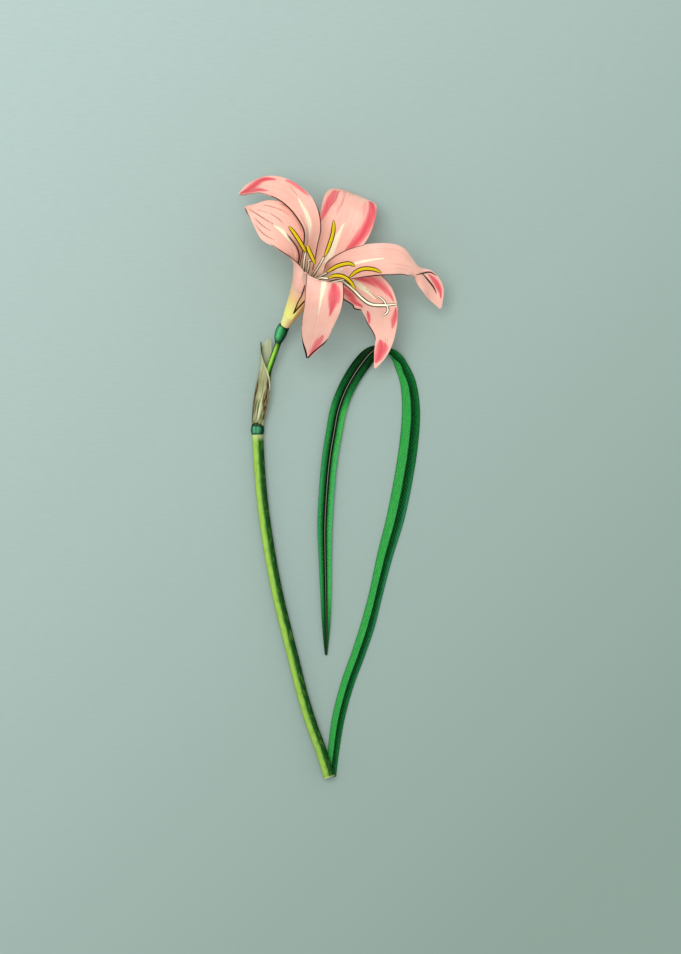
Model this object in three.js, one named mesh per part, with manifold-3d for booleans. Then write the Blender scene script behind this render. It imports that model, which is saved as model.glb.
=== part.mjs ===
// A cut rain lily with one leaf, lying on a flat surface at z = 0.
// Millimetres, +Z up. +Y runs from the cut end to the flower, and the flower looks up and to the right.

import * as THREE from "three";
import { mergeVertices } from "three/addons/utils/BufferGeometryUtils.js";
import Module from "manifold-3d";

// Driving dimensions
const BLADE = 0.6;               // thickness of a tepal and of the spathe
const STEPS_PER_STATION = 2;     // facets of a tepal or the leaf between two stations
const BLADE_ACROSS = 8;          // facets across a tepal
const ROD_STEPS = 3;             // facets of a stalk between two of its points
// Facets round each rod
const SIDES = { scape: 12, collar: 12, pedicel: 10, ovary: 14, tube: 16, filament: 6, anther: 8, style: 8 };

const SCAPE_RADIUS = 1.85;
const PEDICEL_RADIUS = 0.85;
const FILAMENT_RADIUS = 0.36;
const STYLE_RADIUS = 0.42;
const LOBE_RADII = [0.38, 0.31];
const ANTHER_RADIUS = 0.8;
const ANTHER_TIP_RADIUS = 0.35;
const ANTHER_FLATNESS = 0.8;

// The flower's own frame: the foot of its tube, its axis, and two directions across it.
// Azimuth 0 is FLOWER_RIGHT, and azimuth 90 is FLOWER_BACK, away from the eye above.
const FLOWER_FOOT = new THREE.Vector3(-18.6, 51.4, 9);
const FLOWER_AXIS = new THREE.Vector3(0.397, 0.655, 0.643);
const FLOWER_RIGHT = new THREE.Vector3(0.855, -0.519, 0);
const FLOWER_BACK = new THREE.Vector3(0.334, 0.55, -0.766);

// The funnel that the six claws form: distance up the axis and outer radius
const TUBE_TOP = 4.1;
const TUBE_FOOT_RADIUS = 1.7;
const TUBE_TOP_RADIUS = 2.45;
const FUNNEL = [[4.4, 2.5], [8.5, 3.2], [13, 4], [17.5, 5], [22, 6.4]];
const RING_STEP = 1.05;          // the inner ring of claws lies this far inside the outer ring

// Tepals. clawLeft and clawRight are half angles round the axis at the heights of the funnel, from its foot.
// A station of the free blade is its midrib point, the way its inner face looks, the width of its
// left and right halves, and how far each half curls towards the inner face, in degrees.
const WIDE_CLAW = [50, 50, 48, 44, 38];
const NARROW_CLAW = [45, 45, 45, 43, 40];
const TEPALS = {
  tepal_inner_left: {
    azimuth: 145,
    inner: true,
    clawLeft: NARROW_CLAW,
    clawRight: NARROW_CLAW,
    blade: [
      [-10.9, 76.1, 25, 0.62, -0.6, 0.5, 2.9, 3.7, 30, 30],
      [-9.9, 82.3, 28, 0.62, -0.1, 0.75, 3, 4, 15, 15],
      [-12.5, 89.1, 29, 0.45, 0.25, 0.85, 3.9, 4.7, 8, 8],
      [-18, 94.3, 27, 0.2, 0.45, 0.87, 4.7, 4.3, 5, 5],
      [-24.6, 96.6, 23, 0, 0.5, 0.87, 3.7, 3.7, 5, 5],
      [-30, 95.9, 18, 0, 0.4, 0.9, 2.5, 2.5, 5, 5],
      [-33.9, 94.3, 13, 0, 0.3, 0.95, 0.3, 0.3, 5, 5],
    ],
  },
  tepal_outer_left: {
    azimuth: 200,
    inner: false,
    clawLeft: WIDE_CLAW,
    clawRight: WIDE_CLAW,
    blade: [
      [-15.4, 74.7, 26, 0.6, 0, 0.75, 3.7, 5, 30, 25],
      [-18.3, 79.4, 27.5, 0.35, 0.1, 0.93, 5.7, 7, 20, 10],
      [-21.9, 83, 27.5, 0.05, 0.1, 1, 6.3, 7.3, 12, 5],
      [-25.8, 86.2, 26, -0.2, 0.2, 0.95, 4.3, 5.3, 8, 8],
      [-29.2, 88.4, 23, -0.4, 0.3, 0.85, 2.2, 2.3, 5, 5],
      [-31.6, 89.6, 19.5, -0.4, 0.3, 0.8, 0.3, 0.3, 5, 5],
    ],
  },
  tepal_outer_top: {
    azimuth: 95,
    inner: false,
    clawLeft: WIDE_CLAW,
    clawRight: [50, 48, 42, 32, 19],
    blade: [
      [-4.7, 75.3, 18, -0.05, -0.3, 0.95, 6, 7.3, 28, 28],
      [-1.4, 81.8, 17.5, 0, 0, 1, 7, 10, 15, 15],
      [1.5, 88.6, 15, 0.1, 0.3, 0.9, 8.3, 10, 8, 8],
      [3.3, 94.3, 10, 0.36, 0.8, 0.6, 7.9, 8.5, -20, 4],
      [3.8, 95.1, 4, 0.35, 0.9, -0.3, 4.7, 4.7, -10, 0],
      [3.5, 92.1, 0.02, 0.1, 0.3, -0.95, 0.3, 0.3, 0, 0],
    ],
  },
  tepal_inner_right: {
    azimuth: 40,
    inner: true,
    clawLeft: [45, 45, 42, 33, 24],
    clawRight: NARROW_CLAW,
    blade: [
      [-1.8, 68.5, 26.5, 0, 0, 1, 4, 4, 38, 35],
      [4.1, 70.5, 28.5, 0.05, 0, 1, 5, 5, 22, 22],
      [11.9, 71.7, 29, 0.1, 0.05, 1, 5.3, 5.3, 10, 10],
      [18.4, 71.6, 26.5, 0.25, 0.1, 0.9, 5, 4.8, -5, -10],
      [22.7, 70, 23, 0.45, 0.2, 0.85, 3.3, 3.5, -20, -50],
      [25.5, 68.2, 20, 0.45, 0.3, 0.85, 2.7, 3, -10, -120],
      [28.1, 65.7, 16, 0.3, 0.2, 0.95, 3.7, 3.7, 10, 0],
      [30.7, 62.2, 12, 0.1, 0.1, 1, 3.3, 3.3, 20, 20],
      [32.9, 56.8, 8, 0.1, 0, 1, 0.3, 0.3, 10, 10],
    ],
  },
  tepal_outer_right: {
    azimuth: 340,
    inner: false,
    clawLeft: [50, 50, 44, 38],
    clawRight: [50, 47, 38, 28],
    blade: [
      [-5.3, 62.5, 23.9, -0.63, 0.66, -0.05, 1.8, 1.8, 29, 14],
      [-0.1, 63.2, 22, -0.1, 0.2, 0.9, 6.2, 4.6, 22, 20],
      [5.1, 63.6, 21.5, 0, 0.1, 1, 7.3, 7.6, 12, 15],
      [9.9, 61.6, 20.5, 0.15, 0.1, 1, 6.5, 7.4, 6, 10],
      [12.6, 57.8, 19, 0.2, 0, 0.9, 5.7, 6.4, 5, 5],
      [14, 52.7, 16.5, 0.1, -0.1, 1, 4.7, 5.7, 0, 0],
      [14.2, 46.9, 14, 0, -0.1, 1, 3.3, 3.3, 0, 0],
      [13, 41.7, 12, 0, -0.1, 1, 2, 2.3, 0, 0],
      [11, 37, 10, 0, -0.1, 1, 0.3, 0.3, 0, 0],
    ],
  },
  tepal_inner_front: {
    azimuth: 278,
    inner: true,
    clawLeft: NARROW_CLAW,
    clawRight: NARROW_CLAW,
    blade: [
      [-8.9, 63.9, 32.3, 0.35, 0.7, -0.2, 6, 4.7, 30, 30],
      [-7.2, 64.8, 36.5, 0.36, 0.9, 0.2, 7.7, 5, 15, 15],
      [-6.4, 62.6, 38.5, 0.2, 0.5, 0.85, 7.3, 5.3, 10, 10],
      [-6.9, 57.2, 36, 0.1, -0.1, 1, 7.3, 5, 5, 5],
      [-8.1, 51.4, 30, 0, -0.3, 0.9, 5.8, 4.7, 5, 5],
      [-9.6, 45.6, 22.5, 0, -0.3, 0.9, 4.2, 3.3, 5, 5],
      [-11.3, 40.1, 15, 0, -0.3, 0.9, 0.3, 0.3, 5, 5],
    ],
  },
};

// Stamens: the azimuth where each filament leaves the funnel wall, its free points, and the points
// along its anther.
const FILAMENT_RISE = [13.5, 18.5];
const FILAMENT_RING = [1.75, 1.9];
const STAMENS = [
  {
    azimuth: 200,
    filament: [[-12.3, 69, 28], [-12, 71.7, 31.2], [-11.5, 73.9, 32.8]],
    anther: [[-17.1, 82.2, 34], [-15.6, 80.3, 35.3], [-13.7, 77.5, 35.6], [-12.2, 75, 34.6],
      [-11.4, 73.7, 33.6]],
  },
  {
    azimuth: 145,
    filament: [[-10.7, 68.9, 30], [-10.3, 70.9, 34.4], [-9.1, 70.9, 36.7]],
    anther: [[-11.1, 75.9, 38], [-10.4, 73.8, 38.4], [-9.5, 71.9, 38.2], [-8.5, 69.6, 37]],
  },
  {
    azimuth: 95,
    filament: [[-8.7, 67.4, 27.5], [-7.1, 69.8, 30.4], [-5.6, 72.4, 32.1]],
    anther: [[-2.5, 84.6, 30], [-2.7, 80.4, 32], [-3.9, 76.1, 33], [-5.5, 72.2, 33]],
  },
  {
    azimuth: 40,
    filament: [[-8.3, 65.4, 26], [-6.6, 66.2, 31.6], [-4.6, 67, 35.8]],
    anther: [[4.5, 69, 37], [2.3, 69.8, 38], [-1.3, 69, 38], [-4.9, 67, 36.6]],
  },
  {
    azimuth: 340,
    filament: [[-6.3, 63.4, 30.6], [-1.8, 64.3, 34], [2.3, 65.1, 35.1]],
    anther: [[13, 66.9, 35.5], [10.8, 67.9, 36.7], [7.6, 68.2, 37.4], [4.8, 67.3, 37.2], [2.3, 65.2, 36]],
  },
  {
    azimuth: 278,
    filament: [[-8.4, 64.6, 31], [-6.4, 65.3, 35.6], [-4.2, 65, 37.1]],
    anther: [[4.6, 61.1, 38], [2.9, 63.8, 39.4], [0.7, 65.4, 40], [-2.1, 65.8, 39.6], [-4.3, 65, 38]],
  },
];

// The style leaves the funnel along its axis and ends in three stigma lobes.
const STYLE_RISE = [4.4, 11, 18];
const STYLE_END = [14.6, 56.8, 30];
const STYLE = [[-7.5, 63.5, 24.6], [-3.7, 64.2, 28.8], [-0.1, 64.5, 31], [3.4, 62.1, 32], [6.8, 58.8, 31.5],
  [9.9, 57, 30.8], STYLE_END];
const STIGMA_LOBES = [
  [STYLE_END, [13.5, 58.5, 30.6], [11.6, 59.9, 31.4]],
  [STYLE_END, [16.2, 57, 30.3], [18.1, 57.1, 31]],
  [STYLE_END, [15.1, 55.3, 29.8], [14.4, 54.1, 29.8], [13.2, 53.5, 30.2]],
];

// Ovary, stalk and scape, from the flower down to the cut end
const OVARY = [[-21, 45.3, 6.9], [-20.35, 47.6, 7.1], [-19.45, 49.9, 7.75], [-18.75, 51.15, 8.75]];
const OVARY_RADII = [0.95, 1.75, 2.05, 1.95, 1.65];
const PEDICEL = [[-27.7, 18.9, 2.5], [-26.6, 26.8, 3.3], [-24.3, 36, 5], [-21.15, 44.85, 6.8]];
const COLLAR = [[-27.9, 15.2, 2.2], [-27.85, 18.4, 2.25]];
const COLLAR_RADII = [1.7, 2.1, 2.1, 1.75];
const SCAPE = [[-4, -98.6, 3.4], [-6.8, -89.6, 2.7], [-9.5, -82.3, 2.2], [-12.85, -71.7, 1.95],
  [-15.6, -60.7, 1.9], [-19.2, -46.4, 1.9], [-21.8, -35.1, 1.9], [-24.1, -22.4, 1.9],
  [-26, -9.4, 1.95], [-27.2, 3.2, 2.1], [-27.85, 14.8, 2.2]];

// Spathe: its axis, the radius of its wall, and how high the sheet reaches at each angle round the axis.
// Angle 0 is underneath, and the sheet wraps from there by the left side over the front to the slit.
const SPATHE_AXIS = [[-27.8, 18.95, 2.4], [-26.9, 24.8, 2.9], [-25.9, 31.1, 3.9], [-24.9, 38.3, 5.3],
  [-24.9, 47.3, 6.5]];
const SPATHE_RADII = [1.75, 2.3, 2.25, 1.85, 1.8];
const SPATHE_LEFT = 250;
const SPATHE_RIGHT = [95, 60];   // from the foot up to SLIT_START, where the slit is at its widest
const SLIT_START = 0.55;
const SPATHE_REACH = [[-250, 0.5], [-225, 0.62], [-100, 0.97], [-75, 0.9], [-25, 0.86], [35, 1],
  [60, 0.93], [100, 0.93]];
const SPATHE_ALONG = 12;
const SPATHE_ACROSS = 20;

// Leaf: midrib point on the surface it lies on, the way its channelled upper face looks, the half
// width, and how far the margins stand out from the midrib. It lies keel up on the way to the arch,
// turns over on its edge there, and lies keel down on the way back to its tip.
const LEAF_MARGIN = 0.6;         // thickness at the margins
const KEEL_DEPTH = 0.55;         // thickness under the midrib, and how much of it each mm of width adds
const KEEL_GROWTH = 0.18;
const KEEL_FLAT = 0.35;          // half width of the flat underside of the keel
const KEEL_FLAT_SHARE = 0.4;     // the most of the half width that the flat underside takes up
const CHANNEL_SHARE = 0.4;       // how much of the margins' rise is reached half way out to them
const DOWN = [0, 0, -1];
const UP = [0, 0, 1];
const LEAF = [
  [-3.5, -98.5, ...DOWN, 1.7, 0.3],
  [-2.6, -89.8, ...DOWN, 1.9, 0.5],
  [-1, -79.1, ...DOWN, 2.1, 0.7],
  [1.9, -68.1, ...DOWN, 2.2, 0.8],
  [5.5, -58.1, ...DOWN, 2.3, 0.9],
  [8.7, -48.5, ...DOWN, 2.4, 0.9],
  [11.4, -38.1, ...DOWN, 2.3, 0.9],
  [14.4, -25.5, ...DOWN, 2.6, 0.9],
  [18, -12.5, ...DOWN, 3, 0.9],
  [20.6, 0.2, ...DOWN, 3.1, 0.9],
  [22.4, 11.9, ...DOWN, 3.1, 0.9],
  [23.2, 22.9, ...DOWN, 3, 0.9],
  [22.3, 31.9, 0.05, 0, -1, 2.65, 0.9],
  [19.7, 38.4, 0.25, 0.1, -0.96, 2.2, 0.9],
  [17.6, 41.3, 0.6, 0.45, -0.65, 2.2, 0.9],
  [15.5, 42.9, 0.4, 0.9, -0.15, 2.4, 0.9],
  [12.9, 43.2, 0, 0.85, 0.5, 2.5, 0.9],
  [10, 42, -0.25, 0.45, 0.85, 2.7, 0.9],
  [7.4, 39.5, -0.1, 0.15, 0.98, 2.8, 0.9],
  [4, 34.9, ...UP, 2.8, 0.9],
  [1, 29.2, ...UP, 2.75, 0.9],
  [-1.1, 23.2, ...UP, 2.75, 0.9],
  [-2.3, 16.9, ...UP, 2.7, 0.9],
  [-3.8, 7.9, ...UP, 2.65, 0.9],
  [-4.8, -2.1, ...UP, 2.6, 0.9],
  [-5.5, -14.8, ...UP, 2.5, 0.85],
  [-5.4, -27.5, ...UP, 2.1, 0.8],
  [-5.2, -38.1, ...UP, 1.8, 0.7],
  [-5.1, -46.5, ...UP, 1.45, 0.55],
  [-5.1, -52.8, ...UP, 0.95, 0.35],
  [-5.1, -58.1, ...UP, 0.4, 0.1],
];

// Colours and surfaces
const finish = (color, roughness) => new THREE.MeshStandardMaterial({ color, roughness, metalness: 0 });
const TEPAL_PINK = finish(0xfbc3b4, 0.55);
const TUBE_YELLOW = finish(0xf8f08a, 0.55);
const POLLEN_YELLOW = finish(0xf0d21e, 0.9);
const CREAM = finish(0xfbf5d8, 0.5);
const OVARY_GREEN = finish(0x3fa75c, 0.45);
const STALK_GREEN = finish(0x9cc951, 0.5);
const COLLAR_GREEN = finish(0x4f9a78, 0.5);
const SPATHE_STRAW = finish(0xb3a878, 0.75);
const LEAF_GREEN = finish(0x2f9447, 0.5);

const vector = (point) => new THREE.Vector3(point[0], point[1], point[2]);

// Row of numbers at parameter t of a smooth curve through all rows
function along(rows, t) {
  const last = rows.length - 1;
  const place = Math.min(Math.max(t, 0), 1) * last;
  const i = Math.min(Math.floor(place), last - 1);
  const f = place - i;
  return rows[0].map((_, k) => {
    const b = rows[i][k];
    const c = rows[i + 1][k];
    const a = i > 0 ? rows[i - 1][k] : 2 * b - c;
    const d = i + 2 <= last ? rows[i + 2][k] : 2 * c - b;
    const bend = 2 * a - 5 * b + 4 * c - d;
    const twist = 3 * b - a - 3 * c + d;
    return 0.5 * (2 * b + (c - a) * f + bend * f * f + twist * f ** 3);
  });
}

// Value at t from a list of evenly spaced values, in straight steps
function between(values, t) {
  const place = Math.min(Math.max(t, 0), 1) * (values.length - 1);
  const i = Math.min(Math.floor(place), values.length - 2);
  return THREE.MathUtils.lerp(values[i], values[i + 1], place - i);
}

function heading(rows, t) {
  const step = 0.001;
  const before = vector(along(rows, Math.max(t - step, 0)));
  const after = vector(along(rows, Math.min(t + step, 1)));
  return after.sub(before).normalize();
}

// Point at a height up the flower's axis, a radius from it and an azimuth round it
function inFlower(height, radius, azimuth) {
  const angle = THREE.MathUtils.degToRad(azimuth);
  const out = FLOWER_RIGHT.clone().multiplyScalar(Math.cos(angle));
  out.addScaledVector(FLOWER_BACK, Math.sin(angle));
  const point = FLOWER_FOOT.clone().addScaledVector(FLOWER_AXIS, height).addScaledVector(out, radius);
  return { point: point.toArray(), out };
}

function geometryFrom(points, triangles) {
  const geometry = new THREE.BufferGeometry();
  const numbers = points.flatMap((p) => [p.x, p.y, p.z]);
  geometry.setAttribute("position", new THREE.Float32BufferAttribute(numbers, 3));
  geometry.setIndex(triangles.flat());
  return geometry;
}

// Closed solid through rings of points, each closed by a fan at its end
function loft(rings) {
  const count = rings[0].length;
  const points = rings.flat();
  const middle = (ring) => ring.reduce((sum, p) => sum.add(p), new THREE.Vector3()).divideScalar(count);
  const first = points.push(middle(rings[0])) - 1;
  const last = points.push(middle(rings[rings.length - 1])) - 1;
  const top = (rings.length - 1) * count;
  const triangles = [];
  for (let j = 0; j < count; j += 1) {
    const next = (j + 1) % count;
    for (let i = 0; i < rings.length - 1; i += 1) {
      const a = i * count + j;
      const b = i * count + next;
      triangles.push([a, b, b + count], [a, b + count, a + count]);
    }
    triangles.push([first, next, j], [last, top + j, top + next]);
  }
  return geometryFrom(points, triangles);
}

// Closed sheet between two grids of points, one on each face, split into triangles alike
function sheet(front, back) {
  const rows = front.length;
  const columns = front[0].length;
  const size = rows * columns;
  const triangles = [];
  for (let i = 0; i < rows - 1; i += 1) {
    for (let j = 0; j < columns - 1; j += 1) {
      const a = i * columns + j;
      const d = a + columns;
      triangles.push([a, a + 1, d + 1], [a, d + 1, d]);
      triangles.push([size + a, size + d + 1, size + a + 1], [size + a, size + d, size + d + 1]);
    }
  }
  const rim = [];
  for (let j = 0; j < columns - 1; j += 1) rim.push(j);
  for (let i = 0; i < rows - 1; i += 1) rim.push(i * columns + columns - 1);
  for (let j = columns - 1; j > 0; j -= 1) rim.push((rows - 1) * columns + j);
  for (let i = rows - 1; i > 0; i -= 1) rim.push(i * columns);
  rim.forEach((a, k) => {
    const b = rim[(k + 1) % rim.length];
    triangles.push([a, size + a, size + b], [a, size + b, b]);
  });
  return geometryFrom([...front.flat(), ...back.flat()], triangles);
}

// Round rod along points, with its radii spread evenly over its length
function rod(points, radii, sides, flatness = 1) {
  const steps = ROD_STEPS * (points.length - 1);
  const rings = [];
  for (let i = 0; i <= steps; i += 1) {
    const t = i / steps;
    const ahead = heading(points, t);
    const across = new THREE.Vector3(0, 0, 1).cross(ahead).normalize();
    const over = ahead.clone().cross(across);
    const centre = vector(along(points, t));
    const radius = between(radii, t);
    const ring = [];
    for (let j = 0; j < sides; j += 1) {
      const angle = (2 * Math.PI * j) / sides;
      const point = centre.clone().addScaledVector(across, radius * Math.cos(angle));
      ring.push(point.addScaledVector(over, radius * flatness * Math.sin(angle)));
    }
    rings.push(ring);
  }
  return loft(rings);
}

// Point on a tepal's inner face: u runs from claw to tip, v from the left margin to the right one
function tepalPoint(stations, u, v) {
  const row = along(stations, u);
  const ahead = heading(stations, u);
  const face = new THREE.Vector3(row[3], row[4], row[5]);
  face.addScaledVector(ahead, -face.dot(ahead)).normalize();
  const side = ahead.clone().cross(face);
  const width = v > 0 ? row[7] : row[6];
  const degrees = v > 0 ? row[9] : row[8];
  const curl = THREE.MathUtils.degToRad(Math.abs(degrees) < 0.01 ? 0.01 : degrees);
  const turned = curl * Math.abs(v);
  const point = vector(row).addScaledVector(side, (Math.sign(v) * width * Math.sin(turned)) / curl);
  return point.addScaledVector(face, (width * (1 - Math.cos(turned))) / curl);
}

// Way the inner face looks at a point, from its neighbours
function tepalNormal(stations, u, v) {
  const step = 0.004;
  const { clamp } = THREE.MathUtils;
  const point = (a, b) => tepalPoint(stations, clamp(a, 0, 1), clamp(b, -1, 1));
  const lengthways = point(u + step, v).sub(point(u - step, v));
  const sideways = point(u, v + step).sub(point(u, v - step));
  return sideways.cross(lengthways).normalize();
}

function tepalStations({ azimuth, inner, clawLeft, clawRight, blade }) {
  const claw = FUNNEL.slice(0, clawLeft.length).map(([height, outerRadius], k) => {
    const radius = outerRadius - BLADE - (inner ? RING_STEP : 0);
    const { point, out } = inFlower(height, radius, azimuth);
    const widths = [clawLeft[k], clawRight[k]].map((angle) => radius * THREE.MathUtils.degToRad(angle));
    return [...point, -out.x, -out.y, -out.z, ...widths, clawLeft[k], clawRight[k]];
  });
  return [...claw, ...blade];
}

function tepal(settings) {
  const stations = tepalStations(settings);
  const steps = STEPS_PER_STATION * (stations.length - 1);
  const across = Array.from({ length: BLADE_ACROSS + 1 }, (_, j) => -1 + (2 * j) / BLADE_ACROSS);
  const behind = (u, v) => tepalPoint(stations, u, v).addScaledVector(tepalNormal(stations, u, v), -BLADE);
  const front = [];
  const back = [];
  for (let i = 0; i <= steps; i += 1) {
    front.push(across.map((v) => tepalPoint(stations, i / steps, v)));
    back.push(across.map((v) => behind(i / steps, v)));
  }
  return sheet(front, back);
}

function filament({ azimuth, filament: free }) {
  const root = FILAMENT_RISE.map((height, k) => inFlower(height, FILAMENT_RING[k], azimuth).point);
  return rod([...root, ...free], [FILAMENT_RADIUS, FILAMENT_RADIUS], SIDES.filament);
}

function anther({ anther: points }) {
  const radii = [ANTHER_TIP_RADIUS, ANTHER_RADIUS, ANTHER_RADIUS, ANTHER_RADIUS, ANTHER_TIP_RADIUS];
  return rod(points, radii, SIDES.anther, ANTHER_FLATNESS);
}

// Three stigma lobes joined to the end of the style as one body
async function style() {
  const wasm = await Module();
  wasm.setup();
  const solid = (geometry) => {
    const merged = mergeVertices(geometry);
    const vertProperties = new Float32Array(merged.getAttribute("position").array);
    const triVerts = new Uint32Array(merged.index.array);
    return new wasm.Manifold(new wasm.Mesh({ numProp: 3, vertProperties, triVerts }));
  };
  const root = STYLE_RISE.map((height) => inFlower(height, 0, 0).point);
  let joined = solid(rod([...root, ...STYLE], [STYLE_RADIUS, STYLE_RADIUS], SIDES.style));
  for (const lobe of STIGMA_LOBES) {
    joined = joined.add(solid(rod(lobe, LOBE_RADII, SIDES.style)));
  }
  const mesh = joined.getMesh();
  const geometry = new THREE.BufferGeometry();
  geometry.setAttribute("position", new THREE.BufferAttribute(new Float32Array(mesh.vertProperties), 3));
  geometry.setIndex(Array.from(mesh.triVerts));
  return geometry;
}

// Short solid tube where the six claws are grown together
function perianthTube() {
  const foot = inFlower(0, 0, 0).point;
  const top = inFlower(TUBE_TOP, 0, 0).point;
  return rod([foot, top], [TUBE_FOOT_RADIUS, TUBE_TOP_RADIUS], SIDES.tube);
}

function spathePoint(t, v, offset) {
  const right = between(SPATHE_RIGHT, t / SLIT_START);
  const angle = v < 0 ? SPATHE_LEFT * v : right * v;
  const next = SPATHE_REACH.findIndex((entry) => entry[0] >= angle);
  const [low, high] = [SPATHE_REACH[Math.max(next, 1) - 1], SPATHE_REACH[Math.max(next, 1)]];
  const reach = THREE.MathUtils.mapLinear(angle, low[0], high[0], low[1], high[1]);
  const place = t * reach;
  const ahead = heading(SPATHE_AXIS, place);
  const across = ahead.clone().cross(new THREE.Vector3(0, 0, 1)).normalize();
  const over = across.clone().cross(ahead);
  const radius = between(SPATHE_RADII, place) + offset;
  const turn = THREE.MathUtils.degToRad(angle);
  const point = vector(along(SPATHE_AXIS, place)).addScaledVector(across, radius * Math.sin(turn));
  return point.addScaledVector(over, -radius * Math.cos(turn));
}

function spathe() {
  const wall = (offset) => Array.from({ length: SPATHE_ALONG + 1 }, (_, i) => (
    Array.from({ length: SPATHE_ACROSS + 1 }, (__, j) => (
      spathePoint(i / SPATHE_ALONG, -1 + (2 * j) / SPATHE_ACROSS, offset)
    ))
  ));
  return sheet(wall(-BLADE / 2), wall(BLADE / 2));
}

// Section of the leaf: across it from the midrib, and out of its upper face
function leafSection(halfWidth, rise) {
  const keel = KEEL_DEPTH + KEEL_GROWTH * halfWidth;
  const flat = Math.min(KEEL_FLAT, halfWidth * KEEL_FLAT_SHARE);
  const quarter = halfWidth / 2;
  const channel = rise * CHANNEL_SHARE;
  const under = channel - (LEAF_MARGIN + keel) / 2;
  return [
    [-halfWidth, rise],
    [-quarter, channel],
    [0, 0],
    [quarter, channel],
    [halfWidth, rise],
    [halfWidth, rise - LEAF_MARGIN],
    [quarter, under],
    [flat, -keel],
    [-flat, -keel],
    [-quarter, under],
    [-halfWidth, rise - LEAF_MARGIN],
  ];
}

function leaf() {
  const path = LEAF.map(([x, y]) => [x, y, 0]);
  const steps = STEPS_PER_STATION * (LEAF.length - 1);
  const rings = [];
  for (let i = 0; i <= steps; i += 1) {
    const t = i / steps;
    const row = along(LEAF, t);
    const ahead = heading(path, t);
    const face = new THREE.Vector3(row[2], row[3], row[4]);
    face.addScaledVector(ahead, -face.dot(ahead)).normalize();
    const side = ahead.clone().cross(face);
    const ring = leafSection(row[5], row[6]).map(([across, out]) => (
      new THREE.Vector3(row[0], row[1], 0).addScaledVector(side, across).addScaledVector(face, out)
    ));
    const lowest = Math.min(...ring.map((point) => point.z));
    ring.forEach((point) => point.setZ(point.z - lowest));
    rings.push(ring);
  }
  return loft(rings);
}

const flower = new THREE.Group();

function place(name, geometry, material) {
  const mesh = new THREE.Mesh(geometry, material);
  mesh.name = name;
  flower.add(mesh);
}

place("scape", rod(SCAPE, [SCAPE_RADIUS, SCAPE_RADIUS], SIDES.scape), STALK_GREEN);
place("spathe_collar", rod(COLLAR, COLLAR_RADII, SIDES.collar), COLLAR_GREEN);
place("spathe", spathe(), SPATHE_STRAW);
place("pedicel", rod(PEDICEL, [PEDICEL_RADIUS, PEDICEL_RADIUS], SIDES.pedicel), STALK_GREEN);
place("ovary", rod(OVARY, OVARY_RADII, SIDES.ovary), OVARY_GREEN);
place("perianth_tube", perianthTube(), TUBE_YELLOW);
for (const [name, settings] of Object.entries(TEPALS)) {
  place(name, tepal(settings), TEPAL_PINK);
}
STAMENS.forEach((stamen, k) => {
  place(`filament_${k + 1}`, filament(stamen), CREAM);
  place(`anther_${k + 1}`, anther(stamen), POLLEN_YELLOW);
});
place("style", await style(), CREAM);
place("leaf", leaf(), LEAF_GREEN);

export default flower;
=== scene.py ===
import math

import bpy
import numpy as np
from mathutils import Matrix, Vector


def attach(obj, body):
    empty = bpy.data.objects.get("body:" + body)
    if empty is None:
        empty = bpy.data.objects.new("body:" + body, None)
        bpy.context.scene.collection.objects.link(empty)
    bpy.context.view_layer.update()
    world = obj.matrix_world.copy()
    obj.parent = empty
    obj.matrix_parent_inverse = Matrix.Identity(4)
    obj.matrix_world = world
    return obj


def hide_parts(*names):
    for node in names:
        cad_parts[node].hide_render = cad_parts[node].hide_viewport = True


# A cut rain lily with one leaf, lying on a plain pale surface at z = 0.
# The tables below are in millimetres. They follow the solids, but some petal halves and claws, the
# stamens and the style are wider here, and the stalks, tube and spathe differ a little too.
# +Y runs from the cut end to the flower.
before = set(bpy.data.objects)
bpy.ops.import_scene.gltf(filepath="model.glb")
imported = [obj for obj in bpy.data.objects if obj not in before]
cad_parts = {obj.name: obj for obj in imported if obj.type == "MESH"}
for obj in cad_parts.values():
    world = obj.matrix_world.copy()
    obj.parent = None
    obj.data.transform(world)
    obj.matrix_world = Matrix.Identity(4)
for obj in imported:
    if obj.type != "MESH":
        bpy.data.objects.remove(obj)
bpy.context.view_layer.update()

MM = 0.001
SMOOTH_BELOW = math.radians(50)      # edges between faces that meet at less than this are shaded smooth

# Camera: straight above the middle of the plant, far enough for the flower to show hardly any perspective.
bpy.ops.object.camera_add(location=(-0.0003, 0.0012, 1.06), rotation=(0, 0, 0))
camera = bpy.context.object
camera.data.lens = 120
camera.data.sensor_width = 36
camera.data.dof.use_dof = False
bpy.context.scene.camera = camera
bpy.context.scene.view_settings.view_transform = "Standard"

# Shapes

# The flower's own frame: azimuth 0 is RIGHT, and azimuth 90 is BACK, away from the eye above.
FLOWER_FOOT = Vector((-18.6, 51.4, 9))
FLOWER_AXIS = Vector((0.397, 0.655, 0.643))
FLOWER_RIGHT = Vector((0.855, -0.519, 0))
FLOWER_BACK = Vector((0.334, 0.55, -0.766))

# The funnel of the claws: height and outer radius. The inner ring of claws lies a step further in, and
# the solid petals are thicker than the ones here.
FUNNEL = [(4.4, 2.5), (8.5, 3.2), (13, 4), (17.5, 5), (22, 6.4)]
RING_STEP = 1.05
SOLID_BLADE = 0.6
PETAL_THICKNESS = 0.38

WIDE_CLAW = (50, 50, 48, 44, 38)
NARROW_CLAW = (45, 45, 45, 43, 40)

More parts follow.
